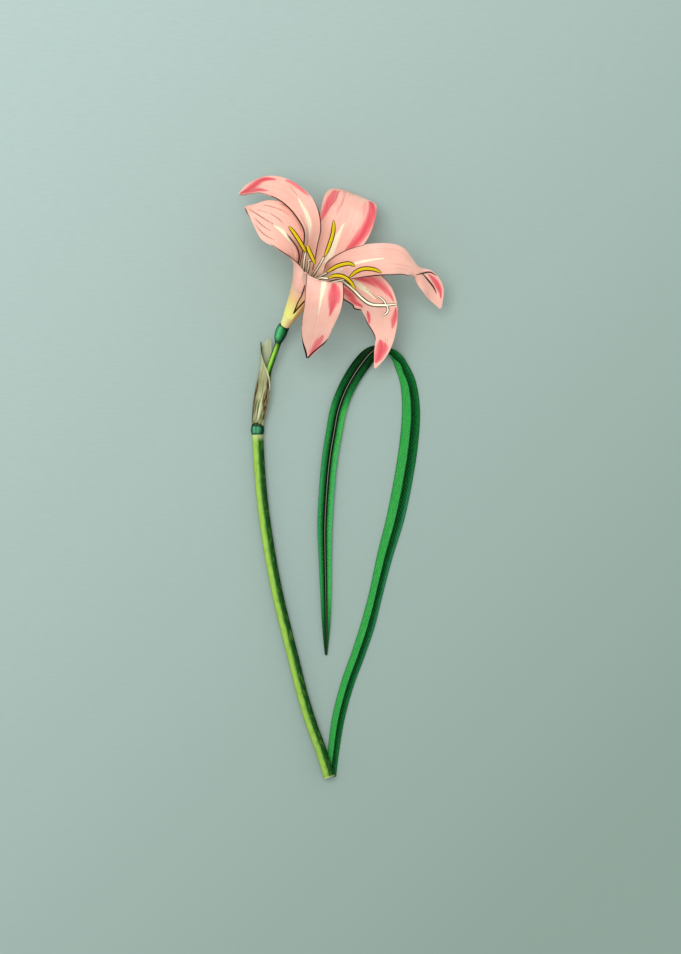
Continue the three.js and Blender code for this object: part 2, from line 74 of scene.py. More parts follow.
# Petals: azimuth, whether it is of the inner ring, half angles of the claw, and the free blade, whose
# stations are the midrib point, the way the inner face looks, the widths of the left and right halves,
# and how far each half curls in, in degrees.
PETALS = {
    "tepal_inner_left": (145, True, NARROW_CLAW, NARROW_CLAW, [
        (-10.9, 76.1, 25, 0.62, -0.6, 0.5, 2.9, 3.7, 30, 30),
        (-9.9, 82.3, 28, 0.62, -0.1, 0.75, 3.5, 4, 15, 15),
        (-12.5, 89.1, 29, 0.45, 0.25, 0.85, 4.8, 4.7, 8, 8),
        (-18, 94.3, 27, 0.2, 0.45, 0.87, 4.9, 4.3, 5, 5),
        (-24.6, 96.6, 23, 0, 0.5, 0.87, 3.7, 3.7, 5, 5),
        (-30, 95.9, 18, 0, 0.4, 0.9, 2.5, 2.5, 5, 5),
        (-33.9, 94.3, 13, 0, 0.3, 0.95, 0.3, 0.3, 5, 5),
    ]),
    "tepal_outer_left": (200, False, (86, 84, 75, 73.5, 60), WIDE_CLAW, [
        (-15.4, 74.7, 26, 0.6, 0, 0.75, 5.2, 5, 50, 25),
        (-18.3, 79.4, 27.5, 0.35, 0.1, 0.93, 5.7, 7.3, 20, 10),
        (-21.9, 83, 27.5, 0.05, 0.1, 1, 6.3, 8.3, 12, 5),
        (-25.8, 86.2, 26, -0.2, 0.2, 0.95, 4.3, 6.1, 8, 8),
        (-29.2, 88.4, 23, -0.4, 0.3, 0.85, 2.2, 2.3, 5, 5),
        (-31.6, 89.6, 19.5, -0.4, 0.3, 0.8, 0.3, 0.3, 5, 5),
    ]),
    "tepal_outer_top": (95, False, WIDE_CLAW, (50, 48, 42, 36, 27), [
        (-4.7, 75.3, 18, -0.05, -0.3, 0.95, 6, 7.3, 28, 28),
        (-1.4, 81.8, 17.5, 0, 0, 1, 7, 10, 15, 15),
        (1.5, 88.6, 15, 0.1, 0.3, 0.9, 8.3, 10, 8, 8),
        (3.3, 94.3, 10, 0.36, 0.8, 0.6, 7.9, 8.5, -20, 4),
        (3.8, 95.1, 4, 0.35, 0.9, -0.3, 4.7, 4.7, -10, 0),
        (3.5, 92.1, 0.02, 0.1, 0.3, -0.95, 0.3, 0.3, 0, 0),
    ]),
    "tepal_inner_right": (40, True, (45, 45, 42, 33, 24), NARROW_CLAW, [
        (-1.8, 68.5, 26.5, 0, 0, 1, 4, 4, 38, 35),
        (4.1, 70.5, 28.5, 0.05, 0, 1, 5, 5, 22, 22),
        (11.9, 71.7, 29, 0.1, 0.05, 1, 5.3, 5.3, 10, 10),
        (18.4, 71.6, 26.5, 0.25, 0.1, 0.9, 5, 4.8, -5, -10),
        (22.7, 70, 23, 0.45, 0.2, 0.85, 3.3, 3.5, -20, -50),
        (25.5, 68.2, 20, 0.45, 0.3, 0.85, 2, 3, -10, -120),
        (28.1, 65.7, 16, 0.3, 0.2, 0.95, 3.7, 3.7, 10, 0),
        (30.7, 62.2, 12, 0.1, 0.1, 1, 3.3, 3.3, 20, 20),
        (32.9, 56.8, 8, 0.1, 0, 1, 0.3, 0.3, 10, 10),
    ]),
    "tepal_outer_right": (340, False, (50, 50, 44, 38), (54, 51, 44, 36), [
        (-5.3, 62.5, 23.9, -0.63, 0.66, -0.05, 1.8, 1.8, 29, 14),
        (-0.1, 63.2, 22, -0.1, 0.2, 0.9, 6.2, 4.6, 22, 20),
        (5.1, 63.6, 21.5, 0, 0.1, 1, 7.3, 7.6, 12, 15),
        (9.9, 61.6, 20.5, 0.15, 0.1, 1, 6.5, 7.4, 6, 10),
        (12.6, 57.8, 19, 0.2, 0, 0.9, 5.7, 6.4, 5, 5),
        (14, 52.7, 16.5, 0.1, -0.1, 1, 4.7, 5.7, 0, 0),
        (14.2, 46.9, 14, 0, -0.1, 1, 3.3, 3.3, 0, 0),
        (13, 41.7, 12, 0, -0.1, 1, 2, 2.3, 0, 0),
        (11, 37, 10, 0, -0.1, 1, 0.3, 0.3, 0, 0),
    ]),
    "tepal_inner_front": (278, True, NARROW_CLAW, NARROW_CLAW, [
        (-8.9, 63.9, 32.3, 0.35, 0.7, -0.2, 6, 4.7, 30, 30),
        (-7.2, 64.8, 36.5, 0.36, 0.9, 0.2, 7.7, 5, 15, 15),
        (-6.4, 62.6, 38.5, 0.2, 0.5, 0.85, 7.3, 5.3, 10, 10),
        (-6.9, 57.2, 36, 0.1, -0.1, 1, 7.3, 5, 5, 5),
        (-8.1, 51.4, 30, 0, -0.3, 0.9, 5.8, 4.7, 5, 5),
        (-9.6, 45.6, 22.5, 0, -0.3, 0.9, 4.2, 3.3, 5, 5),
        (-11.3, 40.1, 15, 0, -0.3, 0.9, 0.3, 0.3, 5, 5),
    ]),
}

# Stamens: azimuth of the filament's root, its free points, and the points along its anther
FILAMENT_RISE = (13.5, 18.5)
FILAMENT_RING = (1.75, 1.9)
STAMENS = [
    (200, [(-12.3, 69, 28), (-12, 71.7, 31.2), (-11.5, 73.9, 32.8)],
     [(-17.1, 82.2, 34), (-15.6, 80.3, 35.3), (-13.7, 77.5, 35.6), (-12.2, 75, 34.6), (-11.4, 73.7, 33.6)]),
    (145, [(-10.7, 68.9, 30), (-10.3, 70.9, 34.4), (-9.1, 70.9, 36.7)],
     [(-11.1, 75.9, 38), (-10.4, 73.8, 38.4), (-9.5, 71.9, 38.2), (-8.5, 69.6, 37)]),
    (95, [(-8.7, 67.4, 27.5), (-7.1, 69.8, 30.4), (-5.6, 72.4, 32.1)],
     [(-2.5, 84.6, 30), (-2.7, 80.4, 32), (-3.9, 76.1, 33), (-5.5, 72.2, 33)]),
    (40, [(-8.3, 65.4, 26), (-6.6, 66.2, 31.6), (-4.6, 67, 35.8)],
     [(4.5, 69, 37), (2.3, 69.8, 38), (-1.3, 69, 38), (-4.9, 67, 36.6)]),
    (340, [(-6.3, 63.4, 30.6), (-1.8, 64.3, 34), (2.3, 65.1, 35.1)],
     [(13, 66.9, 35.5), (10.8, 67.9, 36.7), (7.6, 68.2, 37.4), (4.8, 67.3, 37.2), (2.3, 65.2, 36)]),
    (278, [(-8.4, 64.6, 31), (-6.4, 65.3, 35.6), (-4.2, 65, 37.1)],
     [(4.6, 61.1, 38), (2.9, 63.8, 39.4), (0.7, 65.4, 40), (-2.1, 65.8, 39.6), (-4.3, 65, 38)]),
]
STYLE_RISE = (4.4, 11, 18)
STYLE_END = (14.6, 56.8, 30)
STYLE = [(-7.5, 63.5, 24.6), (-3.7, 64.2, 28.8), (-0.1, 64.5, 31), (3.4, 62.1, 32), (6.8, 58.8, 31.5),
         (9.9, 57, 30.8), STYLE_END]
STIGMA_LOBES = [
    [STYLE_END, (13.5, 58.5, 30.6), (11.6, 59.9, 31.4)],
    [STYLE_END, (16.2, 57, 30.3), (18.1, 57.1, 31)],
    [STYLE_END, (15.1, 55.3, 29.8), (14.4, 54.1, 29.8), (13.2, 53.5, 30.2)],
]

# Tube, ovary, stalk, collar and scape
TUBE_RISE = (0.4, 5.2)
TUBE_FOOT_RADIUS = 1.75
TUBE_TOP_RADIUS = 2.36
OVARY = [(-21, 45.3, 6.9), (-20.3, 47.8, 7.2), (-19.35, 50.1, 7.95), (-18.5, 51.55, 9.15)]
OVARY_RADII = (0.95, 1.75, 2.05, 1.95, 1.65)
PEDICEL = [(-27.8, 18.2, 2.4), (-26.6, 26.8, 3.3), (-24.3, 36, 5), (-20.9, 45.6, 6.95)]
COLLAR = [(-27.9, 15, 2.2), (-27.85, 18.9, 2.25)]
COLLAR_RADII = (1.75, 2.2, 2.2, 1.8)
SCAPE = [(-4, -98.6, 3.4), (-6.8, -89.6, 2.7), (-9.5, -82.3, 2.2), (-12.85, -71.7, 1.95),
         (-15.6, -60.7, 1.9), (-19.2, -46.4, 1.9), (-21.8, -35.1, 1.9), (-24.1, -22.4, 1.9),
         (-26, -9.4, 1.95), (-27.2, 3.2, 2.1), (-27.87, 15.3, 2.2)]
SCAPE_RADIUS = 1.85
PEDICEL_RADIUS = 1.0
FILAMENT_RADII = (0.52, 0.42)
STYLE_RADIUS = 0.68
STIGMA_RADIUS = 0.48
ANTHER_RADIUS = 0.78

# Spathe: its axis, the radius of its wall, and how high the papery sheet reaches at each angle round
# it. Angle 0 is underneath, and the sheet wraps by the left side over the front to the slit.
SPATHE_AXIS = [(-27.85, 18.6, 2.4), (-26.9, 24.8, 2.9), (-25.9, 31.1, 3.9), (-24.9, 38.3, 5.3),
               (-24.9, 47.3, 6.5)]
SPATHE_RADII = (1.85, 2.45, 2.45, 2.05, 1.9)
SPATHE_LEFT = 250
SPATHE_RIGHT = (95, 60)
SLIT_START = 0.55
SPATHE_REACH = ((-250, 0.5), (-225, 0.62), (-100, 0.97), (-75, 0.91), (-30, 0.94), (20, 1), (60, 0.96),
                (100, 0.93))
SPATHE_WALL = 0.3

# Leaf: midrib point on the surface, the way its channelled upper face looks, the half width, and how
# far the margins stand out from the midrib. It turns over on its edge at the arch.
LEAF_MARGIN = 0.6
KEEL_DEPTH = 0.55
KEEL_GROWTH = 0.18
DOWN = (0, 0, -1)
UP = (0, 0, 1)
LEAF = [
    (-3.5, -98.5, *DOWN, 1.7, 0.3),
    (-2.6, -89.8, *DOWN, 1.9, 0.5),
    (-1, -79.1, *DOWN, 2.1, 0.7),
    (1.9, -68.1, *DOWN, 2.2, 0.8),
    (5.5, -58.1, *DOWN, 2.3, 0.9),
    (8.7, -48.5, *DOWN, 2.4, 0.9),
    (11.4, -38.1, *DOWN, 2.3, 0.9),
    (14.4, -25.5, *DOWN, 2.6, 0.9),
    (18, -12.5, *DOWN, 3, 0.9),
    (20.6, 0.2, *DOWN, 3.1, 0.9),
    (22.4, 11.9, *DOWN, 3.1, 0.9),
    (23.2, 22.9, *DOWN, 3, 0.9),
    (22.3, 31.9, 0.05, 0, -1, 2.65, 0.9),
    (19.7, 38.4, 0.25, 0.1, -0.96, 2.2, 0.9),
    (17.6, 41.3, 0.6, 0.45, -0.65, 2.2, 0.9),
    (15.5, 42.9, 0.4, 0.9, -0.15, 2.4, 0.9),
    (12.9, 43.2, 0, 0.85, 0.5, 2.5, 0.9),
    (10, 42, -0.25, 0.45, 0.85, 2.7, 0.9),
    (7.4, 39.5, -0.1, 0.15, 0.98, 2.8, 0.9),
    (4, 34.9, *UP, 2.8, 0.9),
    (1, 29.2, *UP, 2.75, 0.9),
    (-1.1, 23.2, *UP, 2.75, 0.9),
    (-2.3, 16.9, *UP, 2.7, 0.9),
    (-3.8, 7.9, *UP, 2.65, 0.9),
    (-4.8, -2.1, *UP, 2.6, 0.9),
    (-5.5, -14.8, *UP, 2.5, 0.85),
    (-5.4, -27.5, *UP, 2.1, 0.8),
    (-5.2, -38.1, *UP, 1.8, 0.7),
    (-5.1, -46.5, *UP, 1.45, 0.55),
    (-5.1, -52.8, *UP, 0.95, 0.35),
    (-5.1, -58.1, *UP, 0.4, 0.1),
]


def along(rows, t):
    """Row of numbers at t of a smooth curve through all rows."""
    last = len(rows) - 1
    place = min(max(t, 0), 1) * last
    i = min(int(place), last - 1)
    f = place - i
    out = []
    for k in range(len(rows[0])):
        b, c = rows[i][k], rows[i + 1][k]
        a = rows[i - 1][k] if i > 0 else 2 * b - c
        d = rows[i + 2][k] if i + 2 <= last else 2 * c - b
        out.append(0.5 * (2 * b + (c - a) * f + (2 * a - 5 * b + 4 * c - d) * f * f
                          + (3 * b - a - 3 * c + d) * f ** 3))
    return out


def between(values, t):
    """Value at t from evenly spaced values, in straight steps."""
    place = min(max(t, 0), 1) * (len(values) - 1)
    i = min(int(place), len(values) - 2)
    return values[i] + (values[i + 1] - values[i]) * (place - i)


def eased(x):
    """Smooth step from 0 to 1."""
    x = np.clip(x, 0, 1)
    return x * x * (3 - 2 * x)


def heading(rows, t):
    step = 0.001
    ahead = Vector(along(rows, min(t + step, 1))[:3]) - Vector(along(rows, max(t - step, 0))[:3])
    return ahead.normalized()


def in_flower(height, radius, azimuth):
    """Point at a height up the flower's axis, and the way out from the axis there."""
    angle = math.radians(azimuth)
    out = FLOWER_RIGHT * math.cos(angle) + FLOWER_BACK * math.sin(angle)
    return FLOWER_FOOT + FLOWER_AXIS * height + out * radius, out


# Making pieces

def grid(name, columns, rows, place, tube=False):
    """A flat primitive grid whose points are moved to place(across, along), each from 0 to 1."""
    bpy.ops.object.select_all(action="DESELECT")
    bpy.ops.mesh.primitive_grid_add(x_subdivisions=columns, y_subdivisions=rows, size=2)
    piece = bpy.context.object
    piece.name = piece.data.name = name
    for vertex in piece.data.vertices:
        vertex.co = place((vertex.co.x + 1) / 2, (vertex.co.y + 1) / 2) * MM
    if tube:
        bpy.ops.object.mode_set(mode="EDIT")
        bpy.ops.mesh.select_all(action="SELECT")
        bpy.ops.mesh.remove_doubles(threshold=1e-6)
        bpy.ops.mesh.normals_make_consistent(inside=False)
        bpy.ops.object.mode_set(mode="OBJECT")
    return piece


def apply_modifier(piece, kind, **settings):
    modifier = piece.modifiers.new(kind.lower(), kind)
    for key, value in settings.items():
        setattr(modifier, key, value)
    bpy.ops.object.modifier_apply(modifier=modifier.name)


def layer(piece, name, values):
    """A number on each point of the mesh, for its material to read."""
    stored = piece.data.attributes.get(name) or piece.data.attributes.new(name, "FLOAT", "POINT")
    stored.data.foreach_set("value", np.asarray(values, dtype=np.float32))


def read_layer(piece, name):
    values = np.empty(len(piece.data.vertices), dtype=np.float32)
    piece.data.attributes[name].data.foreach_get("value", values)
    return values


def spots_of(piece):
    spots = np.empty(len(piece.data.vertices) * 3, dtype=np.float32)
    piece.data.vertices.foreach_get("co", spots)
    return spots.reshape(-1, 3) / MM


def brushed(spots, strokes, point_at, feather=0.5):
    """How far brush strokes cover each spot. A stroke is its strength and then marks, each a place
    along and across the piece and the half width of the brush there in millimetres. The feather is
    the share of that width over which its edge fades on each side."""
    cover = np.zeros(len(spots))
    for strength, *marks in strokes:
        steps = 6 * (len(marks) - 1)
        line = [along(marks, k / steps) for k in range(steps + 1)]
        points = [np.array(point_at(u, v)) for u, v, _ in line]
        for k in range(steps):
            step = points[k + 1] - points[k]
            f = np.clip((spots - points[k]) @ step / max(step @ step, 1e-9), 0, 1)
            away = np.linalg.norm(spots - points[k] - f[:, None] * step, axis=1)
            width = np.maximum(line[k][2] + (line[k + 1][2] - line[k][2]) * f, 0.02)
            cover = np.maximum(cover, strength * eased((1 + feather - away / width) / (2 * feather)))
    return cover


def finished(piece, node, slot, *materials):
    """Gives a piece its materials, hangs it on the root body and hides the node it stands for."""
    for material in materials:
        piece.data.materials.append(material)
    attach(piece, "root")
    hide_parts(node)


def rod_point(points, t, angle, radius, flatness=1.0):
    """Point on a rod: angle 0 is its left side as it runs away, and 90 degrees is its top."""
    ahead = heading(points, t)
    across = Vector((0, 0, 1)).cross(ahead).normalized()
    over = ahead.cross(across)
    return Vector(along(points, t)) + across * (radius * math.cos(angle)) \
        + over * (radius * flatness * math.sin(angle))


def rod(name, points, radius_at, columns, rows, flatness=1.0):
    """A closed rod, seamed underneath. The first and last rows close its ends."""
    def place(across, ahead):
        row = round(ahead * rows)
        t = min(max((row - 1) / (rows - 2), 0), 1)
        angle = math.tau * across - math.pi / 2
        radius = 0 if row in (0, rows) else radius_at(t, angle)
        return rod_point(points, t, angle, radius, flatness)
    piece = grid(name, columns, rows, place, tube=True)
    bpy.ops.object.shade_smooth_by_angle(angle=SMOOTH_BELOW)
    return piece


def banded(piece, name, points, bands):
    """A layer whose strength follows the way along a rod: pairs of place along it and strength."""
    line = np.array([along(points, k / 200) for k in range(201)])
    spots = spots_of(piece)
    nearest = np.array([np.argmin(((line - spot) ** 2).sum(axis=1)) for spot in spots]) / 200
    places, strengths = zip(*bands)
    layer(piece, name, np.interp(nearest, places, strengths))


# Materials

def linear(colour):
    """Linear colour of an sRGB hex value."""
    out = []
    for i in (1, 3, 5):
        c = int(colour[i:i + 2], 16) / 255
        out.append(c / 12.92 if c <= 0.04045 else ((c + 0.055) / 1.055) ** 2.4)
    return (*out, 1.0)


def new_material(name, **settings):
    """A material and its shader, whose constant values go on the shader's own sockets."""
    material = bpy.data.materials.new(name)
    material.use_nodes = True
    shader = material.node_tree.nodes["Principled BSDF"]
    for key, value in settings.items():
        shader.inputs[key.replace("_", " ")].default_value = value
    return material, shader


def add(material, kind, settings=None, **links):
    """Adds one node. Settings are its properties, and links are values or sockets for its inputs,
    by name or as i0, i1 by place."""
    tree = material.node_tree
    node = tree.nodes.new(kind)
    for key, value in (settings or {}).items():
        if key == "stops":
            ramp = node.color_ramp
            while len(ramp.elements) < len(value):
                ramp.elements.new(0.5)
            for stop, (place, colour) in zip(ramp.elements, value):
                stop.position = place
                stop.color = linear(colour)
        else:
            setattr(node, key, value)
    for key, value in links.items():
        socket = node.inputs[int(key[1:])] if key[1:].isdigit() else node.inputs[key.replace("_", " ")]
        if isinstance(value, bpy.types.NodeSocket):
            tree.links.new(value, socket)
        else:
            socket.default_value = value
    return node


def blended(material, amount, below, above):
    """Colour above laid over colour below by an amount. A colour is a socket or an sRGB hex value."""
    below, above = [linear(tone) if isinstance(tone, str) else tone for tone in (below, above)]
    return add(material, "ShaderNodeMix", {"data_type": "RGBA"}, i0=amount, i6=below, i7=above).outputs[2]


def times(material, a, b, kind="MULTIPLY"):
    return add(material, "ShaderNodeMath", {"operation": kind, "use_clamp": True}, i0=a, i1=b).outputs[0]


def ranged(material, value, low, high, bottom=0.0, top=1.0):
    """Value stretched from low and high to bottom and top, and held there."""
    return add(material, "ShaderNodeMapRange", None, i0=value, i1=low, i2=high, i3=bottom, i4=top).outputs[0]


def painted(material, name):
    return add(material, "ShaderNodeAttribute", {"attribute_name": name}).outputs["Fac"]


def surface_map(material):
    return add(material, "ShaderNodeUVMap", {"uv_map": "UVMap"}).outputs[0]


def in_place(material):
    return add(material, "ShaderNodeTexCoord").outputs["Object"]


def noise(material, source, scale, detail, stretch=None):
    """Noise on a source of coordinates, which a stretch draws out into streaks."""
    if stretch:
        source = add(material, "ShaderNodeMapping", None, Vector=source, Scale=stretch).outputs[0]
    return add(material, "ShaderNodeTexNoise", None, Vector=source, Scale=scale, Detail=detail).outputs["Fac"]


def ramp(material, stops, value):
    return add(material, "ShaderNodeValToRGB", {"stops": stops}, Fac=value).outputs[0]


def relief(material, height, strength, distance, below=None, **settings):
    links = {"Normal": below} if below else {}
    return add(material, "ShaderNodeBump", settings, Strength=strength, Distance=distance, Height=height,
               **links).outputs[0]


def dress(material, shader, colour, normal=None):
    """Joins a colour and a relief to the shader."""
    material.node_tree.links.new(colour, shader.inputs["Base Color"])
    if normal:
        material.node_tree.links.new(normal, shader.inputs["Normal"])


def petal_skin(name, brush_marks):
    """Fresh petal tissue: a soft matte skin of tiny cells, with hardly any gloss, and fine veins that
    run from claw to tip."""
    material, shader = new_material(
        name, Roughness=0.65, IOR=1.4, Subsurface_Weight=0.1, Subsurface_Scale=0.0004,
        Specular_IOR_Level=0.03)
    uv = surface_map(material)
    place = in_place(material)
    # Streaks a millimetre wide and 6 mm long, and strokes a third as wide, along the petal
    streak = noise(material, uv, 1.0, 3.0, (14.0, 9.0, 1.0))
    stroke = noise(material, uv, 1.0, 2.0, (44.0, 12.0, 1.0))
    # Clouds of colour about 6 mm across
    cloud = noise(material, place, 160.0, 1.0)
    # Veins about 1.5 mm apart
    veins = add(material, "ShaderNodeTexWave", {"bands_direction": "X", "wave_profile": "SIN"},
                Vector=uv, Scale=3.2, Distortion=0.5, Detail=1.0, Detail_Scale=1.5).outputs["Fac"]

    colour = blended(material, ranged(material, cloud, 0.3, 0.7), "#fdbeab", "#fdcbb9")
    colour = blended(material, ranged(material, streak, 0.5, 0.75, 0.0, 0.3), colour, "#fbb29e")
    colour = blended(material, ranged(material, stroke, 0.55, 0.75, 0.0, 0.2), colour, "#ffd9c9")
    colour = blended(material, ranged(material, veins, 0.9, 1.0, 0.0, 0.16), colour, "#ec9488")
    # The rose flushes break up into streaks where they fade
    broken = add(material, "ShaderNodeMix", {"data_type": "FLOAT"}, i0=0.4, i2=streak, i3=stroke).outputs[0]
    flush = times(material, ranged(material, painted(material, "rose"), 0.0, 1.0, -0.06, 1.16),
                  ranged(material, broken, 0.36, 0.64, 0.0, 0.4), "SUBTRACT")
    colour = blended(material, ranged(material, flush, 0.0, 0.5), colour, "#f79492")
    colour = blended(material, ranged(material, flush, 0.35, 1.0), colour, "#e65a64")
    # The yellow of the tube fades through orange into the pink, up the claws
    rise = painted(material, "rise")
    claw = ramp(material, (
        (0.0, "#f6f99a"), (0.28, "#fbf68a"), (0.4, "#fae891"), (0.52, "#fcd391"), (0.64, "#fecda2"),
        (0.8, "#fdc8b4")), rise)
    colour = blended(material, ranged(material, rise, 0.62, 0.85, 1.0, 0.0), colour, claw)
    # Brush marks in the order given: the pale throat and single veins are the petal's own colour, the pale
    # stripe is a painted highlight, and shade, tan and the dark lines are painted shade
    for mark, tone in brush_marks:
        colour = blended(material, painted(material, mark), colour, tone)
    # Cells a fifth of a millimetre across, coarser than real ones so that they show
    cells = add(material, "ShaderNodeTexVoronoi", None, Vector=place, Scale=5000.0).outputs["Distance"]
    grain = relief(material, cells, 0.12, 0.00005)
    dress(material, shader, colour, relief(material, veins, 0.3, 0.0001, grain))
    return material


TONE_WANDER = 0.09


def round_skin(name, tones, streak_tone, stretch, **settings):
    """Skin of a rod or tube: its colour runs round it through tones of painted light and shade, which
    start and end underneath, with streaks along it."""
    material, shader = new_material(name, **settings)
    uv = surface_map(material)
    parts = add(material, "ShaderNodeSeparateXYZ", None, Vector=uv)
    place = in_place(material)
    # Streaks well under a millimetre wide and several long: the plant's own grain
    streak = noise(material, uv, 1.0, 3.0, stretch)
    # The edges between the tones wander by up to this share of the way round
    wander = add(material, "ShaderNodeMath", {"operation": "MULTIPLY_ADD"}, i0=streak, i1=TONE_WANDER,
                 i2=parts.outputs[0]).outputs[0]
    turn = add(material, "ShaderNodeMath", {"operation": "SUBTRACT"}, i0=wander,
               i1=TONE_WANDER / 2).outputs[0]
    colour = ramp(material, tones, turn)
    colour = blended(material, ranged(material, streak, 0.5, 0.75, 0.0, 0.5), colour, linear(streak_tone))
    # The dark layer is painted shade in bands along the piece
    colour = blended(material, painted(material, "dark"), colour, "#06200c")
    colour = blended(material, painted(material, "pale"), colour, "#dfe9a8")
    pits = relief(material, noise(material, place, 2500.0, 2.0), 0.08, 0.0001)
    dress(material, shader, colour, relief(material, streak, 0.3, 0.0001, pits))
    return material


def papery_sheet():
    """Dry spathe: a thin, papery, straw-coloured sheet with raised green ribs and brown streaks, and
    painted highlights and painted shade.
    """
    material, shader = new_material("dry_spathe_paper", Roughness=0.78, Specular_IOR_Level=0.03)
    uv = surface_map(material)
    streak = noise(material, uv, 1.0, 4.0, (60.0, 5.0, 1.0))
    # Ribs about 0.8 mm apart
    ribs = add(material, "ShaderNodeTexWave", {"bands_direction": "X", "wave_profile": "SIN"},
               Vector=uv, Scale=5.5, Distortion=0.4, Detail=1.0).outputs["Fac"]
    colour = blended(material, ranged(material, streak, 0.38, 0.62), "#b9b68c", "#85865e")
    colour = blended(material, ranged(material, ribs, 0.6, 1.0, 0.0, 0.55), colour, "#7d9358")
    green = times(material, painted(material, "green"), ranged(material, streak, 0.4, 0.55, 0.1, 1.0))
    colour = blended(material, green, colour, "#2f5222")
    colour = blended(material, painted(material, "pale"), colour, "#bcc6a6")
    brown = times(material, painted(material, "brown"), ranged(material, streak, 0.36, 0.52, 0.25, 1.0))
    colour = blended(material, brown, colour, "#46281a")
    # Painted highlights: pale streaks along the top of the sheet and along its margin
    colour = blended(material, painted(material, "white"), colour, "#efeccb")
    # Painted shade along the margin and at the foot of the sheet, where it meets the collar
    colour = blended(material, painted(material, "dark"), colour, "#1d2a14")
    dress(material, shader, colour, relief(material, times(material, ribs, streak, "ADD"), 0.5, 0.00015))
    return material


def leaf_skin():
    """Smooth green strap leaf: a waxy skin with hardly any gloss, and fine veins side by side along it."""
    material, shader = new_material("waxy_leaf_skin", Roughness=0.5, Specular_IOR_Level=0.04)
    uv = surface_map(material)
    place = in_place(material)
    # Fibres 0.2 mm apart, and a slanting hatch of painted shade a third of a millimetre apart, stronger on
    # the dark half
    fibre = noise(material, uv, 1.0, 3.0, (70.0, 60.0, 1.0))
    speckle = noise(material, place, 1500.0, 2.0)
    slant = add(material, "ShaderNodeMapping", None, Vector=uv, Rotation=(0.0, 0.0, 0.03),
                Scale=(12.0, 260.0, 1.0)).outputs[0]
    hatch = add(material, "ShaderNodeTexWave", {"bands_direction": "DIAGONAL"}, Vector=slant, Scale=0.75,
                Distortion=5.0, Detail=4.0, Detail_Scale=3.0, Detail_Roughness=0.7).outputs["Fac"]
    # The tone is painted light and shade: the lit and shaded halves of the keel and the dark arch
    tone = painted(material, "tone")
    rough = add(material, "ShaderNodeMix", {"data_type": "FLOAT"}, i0=0.5, i2=fibre, i3=speckle).outputs[0]
    grain = add(material, "ShaderNodeMath", {"operation": "MULTIPLY_ADD"}, i0=rough, i1=0.5,
                i2=tone).outputs[0]
    dim = times(material, ranged(material, hatch, 0.3, 0.9), painted(material, "hatch"))
    grain = add(material, "ShaderNodeMath", {"operation": "SUBTRACT"}, i0=grain, i1=0.25).outputs[0]
    grain = add(material, "ShaderNodeMath", {"operation": "MULTIPLY_ADD"}, i0=dim, i1=-0.3,
                i2=grain).outputs[0]
    colour = ramp(material, (
        (0.0, "#020c05"), (0.2, "#05300f"), (0.42, "#0b5a26"), (0.62, "#1f7d3a"), (0.8, "#3aa349"),
        (1.0, "#5cbb5c")), grain)
    # A painted blue-green sheen near the margins
    colour = blended(material, painted(material, "bloom"), colour, "#4f9a86")
    # The midrib: a thin pale line between two black lines of painted shade in its grooves, on the channelled
    # face
    middle = add(material, "ShaderNodeMath", {"operation": "ABSOLUTE"},
                 i0=painted(material, "across")).outputs[0]
    rib = painted(material, "rib")
    groove = times(material, ranged(material, middle, 0.15, 0.25, 1.0, 0.0), rib)
    colour = blended(material, groove, colour, "#040a05")
    line = times(material, ranged(material, middle, 0.015, 0.05, 0.8, 0.0), rib)
    colour = blended(material, line, colour, "#8f977a")
    dress(material, shader, colour, relief(material, fibre, 0.3, 0.0001))
    return material


def pollen_skin():
    """Anther covered with pollen: a rough yellow powder of single grains, with a brown line along its seam
    and painted shade round its sides, underneath it and at its ends.
    """
    material, shader = new_material("yellow_pollen", Roughness=0.9, Specular_IOR_Level=0.02)
    uv = surface_map(material)
    parts = add(material, "ShaderNodeSeparateXYZ", None, Vector=uv)
    place = in_place(material)
    # Grains 0.25 mm across, coarser than real pollen so that they show
    grains = add(material, "ShaderNodeTexVoronoi", None, Vector=place, Scale=4000.0).outputs["Distance"]
    colour = ramp(material, (
        (0.0, "#1f1305"), (0.385, "#241606"), (0.4, "#8f680c"), (0.42, "#f1d41c"), (0.455, "#ffe836"),
        (0.47, "#6b4a0a"), (0.485, "#7d5a0c"), (0.5, "#f0d420"), (0.55, "#fbe42a"), (0.58, "#c99a12"),
        (0.6, "#4a320a"), (0.615, "#1f1305"), (1.0, "#1f1305")), parts.outputs[0])
    colour = blended(material, ranged(material, grains, 0.3, 0.7, 0.0, 0.3), colour, "#c08f14")
    # Painted shade towards both ends
    from_end = add(material, "ShaderNodeMath", {"operation": "PINGPONG"}, i0=parts.outputs[1],
                   i1=0.5).outputs[0]
    colour = blended(material, ranged(material, from_end, 0.02, 0.08, 0.85, 0.0), colour, "#3a2408")
    dress(material, shader, colour, relief(material, grains, 0.6, 0.00012, invert=True))
    return material


# Inside, the stripe is a painted highlight, and shade and line are painted shade; outside, tan, line and
# back_line are painted shade.
PETAL_INSIDE = petal_skin("petal_inner_skin", (
    ("throat", "#fde0bb"), ("stripe", "#fff6d6"), ("shade", "#a98367"), ("vein", "#9a4436"),
    ("line", "#2c120d")))
PETAL_OUTSIDE = petal_skin("petal_outer_skin",
                           (("tan", "#c69260"), ("line", "#3a170c"), ("back_line", "#3a170c")))
